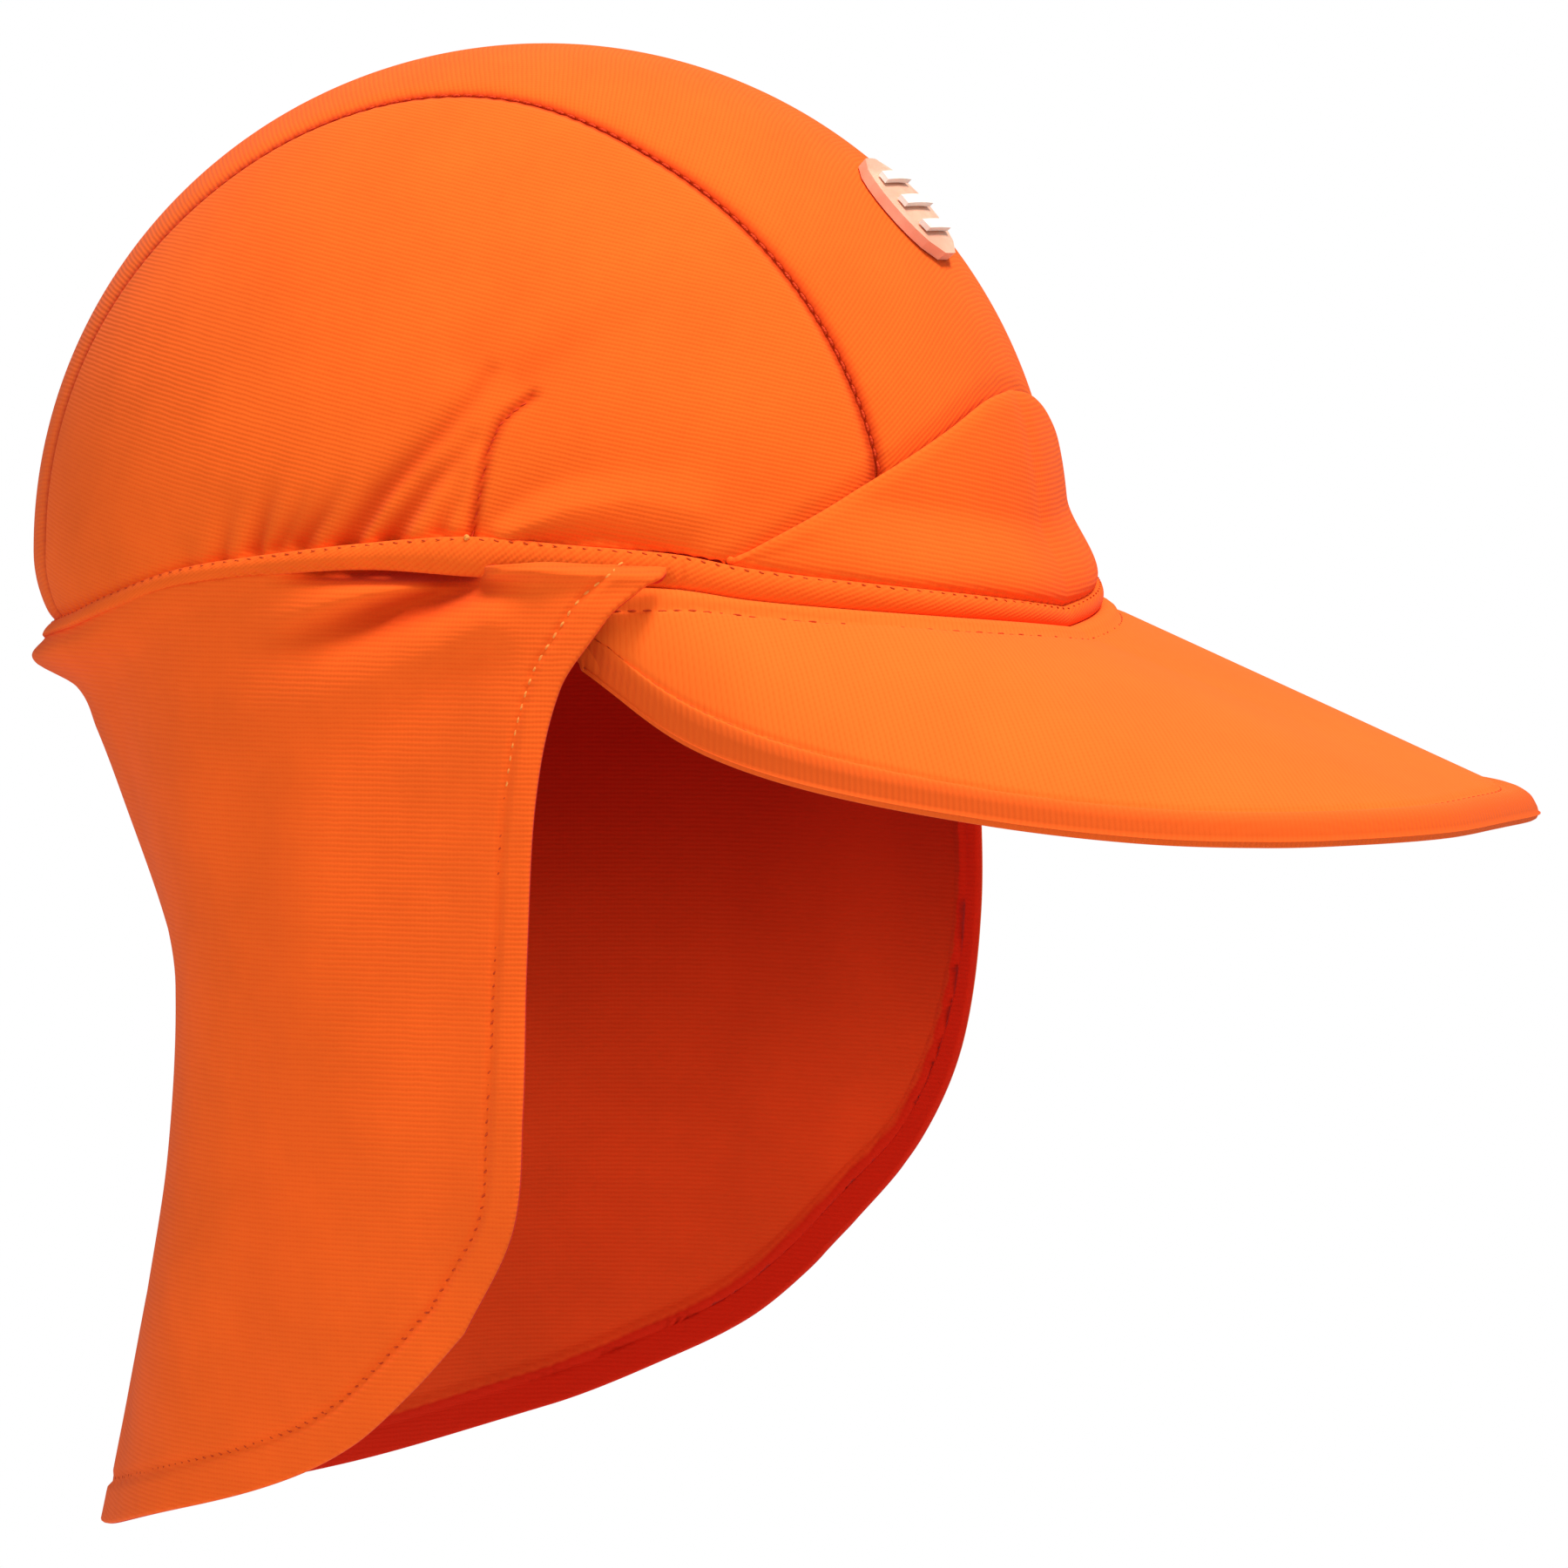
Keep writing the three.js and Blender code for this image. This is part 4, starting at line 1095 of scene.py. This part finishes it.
class CapSidePanels(bpy.types.Operator):
    """Sew the two side panels of the crown, gathered above the headband"""

    bl_idname = "cap.side_panels"
    bl_label = "Side panels"

    def execute(self, context):
        sizes = context.scene.cap_cloth
        # deep is the crease colour: shade painted into the folds, the dart and the seams
        deep = hex_of(sizes.crease)
        material = knit_for("Polyester jersey, knitted, crown sides", sizes.crown, sizes.crown_groove, crease=deep)
        u, v = np.meshgrid(evenly(210, crowd=0.25), evenly(130, crowd=0.45), indexing="ij")
        for side, word in ((-1, "right"), (1, "left")):
            outer = side_face(u, v, side)
            flat = side_pattern(outer, 12 * side)
            inner = below(outer, PANEL_WALL)
            marks = {"crease": crown_crease(outer, from_side_seam(u, v))}
            piece = cloth(f"side_panel_{word}", outer, inner, flat, (material,), rim=0.3, marks=marks)
            stand_for(piece, f"crown_side_{word}", slot="crown")
        return {"FINISHED"}


class CapCentrePanel(bpy.types.Operator):
    """Sew the centre panel that runs over the crown from the brow to the nape"""

    bl_idname = "cap.centre_panel"
    bl_label = "Centre panel"

    def execute(self, context):
        sizes = context.scene.cap_cloth
        # deep is the crease colour: shade painted along the seams
        deep = hex_of(sizes.crease)
        material = knit_for(
            "Polyester jersey, knitted, crown centre", sizes.crown, sizes.crown_groove, turn=-14, crease=deep
        )
        u, v = np.meshgrid(evenly(56, -1, 1, crowd=0.5), evenly(260, crowd=0.2), indexing="ij")
        outer = centre_face(u, v)
        flat = np.stack([u * CENTRE_HALF_WIDTH, v * CENTRE_LENGTH], axis=-1)
        marks = {"crease": seam_dip((1 - np.abs(u)) * CENTRE_HALF_WIDTH, 1, SEAM_CREASE)}
        piece = cloth("centre_panel", outer, below(outer, PANEL_WALL), flat, (material,), rim=0.3, marks=marks)
        stand_for(piece, "crown_centre", slot="crown")
        return {"FINISHED"}


class CapForeheadPanel(bpy.types.Operator):
    """Fold the forehead panel's edge over the crown above the peak"""

    bl_idname = "cap.forehead_panel"
    bl_label = "Forehead panel"

    def execute(self, context):
        sizes = context.scene.cap_cloth
        material = knit_for("Polyester jersey, knitted, forehead", sizes.crown, sizes.crown_groove, turn=4)
        u, v = np.meshgrid(evenly(200, -1, 1, crowd=0.1), evenly(60, crowd=0.3), indexing="ij")
        outer = forehead_face(u, v)
        above_band = outer[..., 2] - band_top(np.abs(u) * FOREHEAD_HALF_ANGLE)
        flat = np.stack([u * FOREHEAD_KNIT, above_band], axis=-1)
        piece = cloth("forehead", outer, below(outer, FOREHEAD_WALL), flat, (material,), rim=FOREHEAD_WALL / 2)
        stand_for(piece, "forehead_panel", slot="crown")
        return {"FINISHED"}


class CapHeadband(bpy.types.Operator):
    """Sew the narrow headband with its stitch puckers and front joins"""

    bl_idname = "cap.headband"
    bl_label = "Headband"

    def execute(self, context):
        sizes = context.scene.cap_cloth
        name = "Polyester jersey, knitted on the bias, headband"
        material = knit_for(name, sizes.crown, sizes.crown_groove, turn=-35)
        turns = np.arange(1440) * 0.25 - 180
        angle, v = np.meshgrid(turns, evenly(14, crowd=0.4), indexing="ij")
        outer = band_face(angle, v)
        inner = outer - from_axis(outer) * STRIP_WALL
        flat = np.stack([angle * BAND_KNIT, v * -BAND_HEIGHT], axis=-1)
        piece = cloth("headband_strip", outer, inner, flat, (material,), closed=True, rim=0.35)
        stand_for(piece, "headband", slot="crown")
        return {"FINISHED"}


class CapPeak(bpy.types.Operator):
    """Cover the peak's thin pad and roll its edge"""

    bl_idname = "cap.peak"
    bl_label = "Peak"

    def execute(self, context):
        sizes = context.scene.cap_cloth
        material = knit_for(
            "Polyester jersey, knitted over foam, peak",
            sizes.peak,
            sizes.peak_groove,
            mottle=0.06,
            rolled=hex_of(sizes.rolled),
        )
        u, v = np.meshgrid(evenly(300, -1, 1, crowd=0.2), 1 - (1 - evenly(86)) ** 1.25, indexing="ij")
        outer, inner = peak_face(u, v, False), peak_face(u, v, True)
        (a, b), x, y = PEAK_COURSES, outer[..., 0], outer[..., 1]
        flat = np.stack([-a * x - b * y, b * x - a * y], axis=-1)
        from_rim = (1 - v) * np.linalg.norm(peak_rim(u) - peak_root(u), axis=-1)
        # The rolled mark gives the edge its ribs and its painted shade
        marks = {"rolled": 1 - smooth_step(2.0, EDGE_CHANNEL, from_rim)}
        piece = cloth("peak_cover", outer, inner, flat, (material,), rim=0.3, marks=marks)
        stand_for(piece, "peak", slot="peak")
        return {"FINISHED"}


class CapNeckFlap(bpy.types.Operator):
    """Hang the hemmed neck flap from the headband"""

    bl_idname = "cap.neck_flap"
    bl_label = "Neck flap"

    def execute(self, context):
        sizes = context.scene.cap_cloth
        # deep is the crease colour: shade painted into the flap's folds and its pocket under the headband
        deep = hex_of(sizes.crease)
        outside = knit_for("Polyester jersey, knitted, flap", sizes.flap, sizes.flap_groove, crease=deep)
        # The inside is a darker copy of the flap's knit, painted shade, with more shade painted near the crown and on
        # the hem
        inside = knit_for(
            "Polyester jersey, knitted, flap inside",
            sizes.flap_inside_shaded,
            sizes.flap_inside_shaded,
            depth=0.15,
            hem=hex_of(sizes.hem_inside_shade),
            deep=hex_of(sizes.inside_top_shade),
        )
        down = np.sort(np.concatenate([evenly(116, crowd=0.3), evenly(20, 0.001, 0.03), evenly(24, 0.033, 0.15)]))
        u, v = np.meshgrid(evenly(284, -1, 1, crowd=0.35), down, indexing="ij")
        angle, height = flap_place(u, v)
        outer = flap_skin(angle, height)
        hem = hem_place(angle, height)[0]
        wall = CLOTH_WALL - 0.5 + 0.5 * smooth_step(HEM_LOWER + 0.4, HEM_LOWER - 0.6, hem)
        inner = below(outer, wall, outward=from_axis)
        flat = np.stack([angle * FLAP_KNIT, outer[..., 2]], axis=-1)
        # The crease mark paints shade into the flap's folds and pocket
        marks = {"hem_distance": hem, "crease": 0.9 * smooth_step(0.2, 3.4, flap_sink(angle, height))}
        piece = cloth("neck_flap_cloth", outer, inner, flat, (outside, inside), rim=0.5, marks=marks)
        stand_for(piece, "neck_flap", slot="flap")
        return {"FINISHED"}


def seam_path(count=400):
    """Places in the groove between a side panel and the centre panel, on the wearer's left."""
    front, back = arch_ends(1.0)
    arch = np.linspace(float(front) - 2, float(back) + 2, count)
    point = arch_point(arch, 1.0)
    return point - from_crown_middle(point) * 0.62


def mirrored(path):
    """The same path on the other side of the cap."""
    return path * np.array((-1, 1, 1))


def upward(points):
    """The upright direction for each point."""
    return np.broadcast_to(np.array((0, 0, 1.0)), points.shape)


class CapStitches(bpy.types.Operator):
    """Sew the visible stitches of the seams, the darts, the peak and the flap's hem"""

    bl_idname = "cap.stitches"
    bl_label = "Stitches"

    def execute(self, context):
        seams = context.scene.cap_seams
        pitch, width = seams.pitch / MM, seams.width / MM
        dark = sewing_thread("Spun polyester thread, red", hex_of(seams.thread), "#C03010")
        pale = sewing_thread("Spun polyester thread, pale orange", hex_of(seams.pale_thread), "#E8823A")
        rust = sewing_thread("Spun polyester thread, rust", hex_of(seams.dark_thread), "#BC3C12")
        path = seam_path()
        crown = []
        for line in (path, mirrored(path)):
            crown += stitch_line(line, from_crown_middle, pitch, pitch * 0.78, width * 0.85, rise=0.08)
        shares, points = np.linspace(0, 1, 60), np.linspace(0, 1, len(DART))
        turns, levels = (np.interp(shares, points, column) for column in zip(*DART))
        fold = dome_round(np.radians(turns), levels)
        fold = fold - from_crown_middle(fold) * (sum(crown_sink(fold))[:, None] - 0.15)
        for line in (fold, mirrored(fold)):
            crown += stitch_line(line, from_crown_middle, 1.5, 1.15, 0.16, rise=0.03, slant=0.2)
        thread("crown_stitches", crown, dark)
        angle = np.linspace(-180, 180, 1800)
        low = band_middle(angle, band_top(np.abs(angle)) + 0.05, BAND_WALL / 2 - 0.3)
        band = stitch_line(low, from_axis, pitch * 1.1, 0.9, 0.13, rise=0.03, slant=0.25)
        thread("band_stitches", band, rust)
        u = np.linspace(-0.97, 0.97, 600)
        span = np.linalg.norm(peak_rim(u) - peak_root(u), axis=-1)
        root_line = peak_face(u, np.minimum(4.4, 0.3 * span) / span, False)
        rim_line = peak_face(u, 1 - np.minimum(EDGE_CHANNEL, 0.4 * span) / span, False)
        peak = stitch_line(root_line, upward, 2.4, 1.5, 0.24, rise=0.03)
        peak += stitch_line(rim_line, upward, 2.4, 1.4, 0.2, rise=0.0)
        thread("peak_stitches", peak, rust)
        thread_hem(pale, rust)
        for piece in bpy.data.objects:
            if "stitches" in piece.name:
                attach(piece, "root")
        return {"FINISHED"}


def thread_hem(pale, rust):
    """Sew the flap's hem, pale at its top, and the knots at the foot of the darts."""
    light, dark = [], []
    for side in (-1, 1):
        light += stitch_line(hem_line(side, 4.0, 38.0), from_axis, 2.1, 1.2, 0.24, rise=0.12)
        dark += stitch_line(hem_line(side, 38.0, 400.0), from_axis, 2.0, 0.9, 0.2, rise=0.02, slant=0.8)
    for angle, height in ((-74.0, 14.6), (-72.9, 12.9), (74.3, 14.5)):
        knot = dome_round(np.radians(np.array([angle])), np.array([height]), 0.35)[0]
        light.append((knot - (0, 0.55, 0.1), knot + (0, 0.55, 0.1), from_axis(knot), 0.5, 0.2))
    thread("hem_stitches_pale", light, pale)
    thread("hem_stitches_rust", dark, rust)


class CapBadge(bpy.types.Operator):
    """Finish the small moulded badge"""

    bl_idname = "cap.badge"
    bl_label = "Badge"

    def execute(self, context):
        plate = moulded("Silicone, moulded, blush", "#F4BC9E", "#EFA88A", 0.42, glow=0.3)
        rib = moulded("Silicone, moulded, white", "#F8F1EA", "#F2E4DA", 0.38, glow=0.15)
        for name, node in frame["nodes"].items():
            if name.startswith("badge"):
                piece = bpy.data.objects[name]
                piece.data.materials.clear()
                piece.data.materials.append(rib if "rib" in name else plate)
        return {"FINISHED"}


# The middle of the view in millimetres to the right of the origin and above it, as the camera sees them, and the
# camera's lens and sensor in millimetres
VIEW_MIDDLE = (39.0, -28.6)
LENS = 182
SENSOR_WIDTH = 36
# Each light's place in metres to the right, above and towards the camera, its size and its share of the key power
LAMPS = (
    ("key_light", (0.36, 1.2, 0.42), 0.4, 1.0),
    ("fill_light", (-0.5, 0.1, 1.25), 1.0, 0.3),
)
FLOOR_LEVEL = -0.55
FLOOR_RADIUS = 0.9


def aim(thing, target):
    """Turn a camera or light towards a point."""
    way = np.array(target) - np.array(thing.location)
    level = math.hypot(way[0], way[1])
    thing.rotation_euler = (math.atan2(level, -way[2]), 0, math.atan2(way[1], way[0]) - math.pi / 2)


class CapStage(bpy.types.Operator):
    """Set the pale floor, the soft lights and the camera"""

    bl_idname = "cap.stage"
    bl_label = "Stage"

    def execute(self, context):
        studio = context.scene.cap_studio
        turn, height = studio.turn, studio.height
        right = np.array((math.cos(turn), math.sin(turn), 0))
        back = np.array((math.sin(turn) * math.cos(height), -math.cos(turn) * math.cos(height), math.sin(height)))
        up = np.cross(back, right)
        middle = (right * VIEW_MIDDLE[0] + up * VIEW_MIDDLE[1]) * MM
        camera = bpy.data.objects.new("camera", bpy.data.cameras.new("camera"))
        camera.data.lens = LENS
        camera.data.sensor_width = SENSOR_WIDTH
        camera.data.clip_start = 0.05
        camera.location = middle + back * studio.distance
        aim(camera, middle)
        context.scene.collection.objects.link(camera)
        context.scene.camera = camera
        for name, (sideways, above, behind), size, power in LAMPS:
            data = bpy.data.lights.new(name, "AREA")
            data.shape = "DISK"
            data.size = size
            data.energy = studio.key_light * power
            lamp = bpy.data.objects.new(name, data)
            lamp.location = middle + (right * sideways + up * above + back * behind)
            aim(lamp, middle)
            context.scene.collection.objects.link(lamp)
        world = bpy.data.worlds.new("white_surround")
        world.use_nodes = True
        tree = world.node_tree
        shown = add_node(tree, "ShaderNodeLightPath")
        strength = remap(tree, shown.outputs["Is Camera Ray"], 0.0, 1.0, studio.sky, 1.0)
        tree.nodes["Background"].inputs["Color"].default_value = (1, 1, 1, 1)
        tree.links.new(strength, tree.nodes["Background"].inputs["Strength"])
        context.scene.world = world
        paper = studio_surface("Background paper, seamless", "#FFFFFF", "#FBFBFB")
        bpy.ops.object.select_all(action="DESELECT")
        level = (0, 0, FLOOR_LEVEL)
        bpy.ops.mesh.primitive_circle_add(vertices=96, radius=FLOOR_RADIUS, fill_type="NGON", location=level)
        floor = context.object
        floor.name = "floor"
        bpy.ops.object.transform_apply(location=True, rotation=True, scale=True)
        floor.data.materials.append(paper)
        context.scene.view_settings.view_transform = "Standard"
        return {"FINISHED"}


OPERATORS = (
    CapSidePanels,
    CapCentrePanel,
    CapForeheadPanel,
    CapHeadband,
    CapPeak,
    CapNeckFlap,
    CapStitches,
    CapBadge,
    CapStage,
)


class CapPanel(bpy.types.Panel):
    """Sizes, colours and steps of the cap"""

    bl_idname = "VIEW3D_PT_cap"
    bl_label = "Legionnaire cap"
    bl_space_type = "VIEW_3D"
    bl_region_type = "UI"
    bl_category = "Legionnaire cap"

    def draw(self, context):
        for group in (context.scene.cap_cloth, context.scene.cap_seams, context.scene.cap_studio):
            box = self.layout.box()
            for name in group.__annotations__:
                box.prop(group, name)
        for operator in OPERATORS:
            self.layout.operator(operator.bl_idname)


GROUPS = {"cap_cloth": CapCloth, "cap_seams": CapSeams, "cap_studio": CapStudio}


def register():
    for group in GROUPS.values():
        bpy.utils.register_class(group)
    for operator in OPERATORS:
        bpy.utils.register_class(operator)
    bpy.utils.register_class(CapPanel)
    for name, group in GROUPS.items():
        setattr(bpy.types.Scene, name, bpy.props.PointerProperty(type=group))


def unregister():
    for name in GROUPS:
        delattr(bpy.types.Scene, name)
    bpy.utils.unregister_class(CapPanel)
    for operator in reversed(OPERATORS):
        bpy.utils.unregister_class(operator)
    for group in GROUPS.values():
        bpy.utils.unregister_class(group)


def main():
    """Dress the cap."""
    register()
    for operator in OPERATORS:
        family, step = operator.bl_idname.split(".")
        getattr(getattr(bpy.ops, family), step)()


if __name__ == "__main__":
    main()
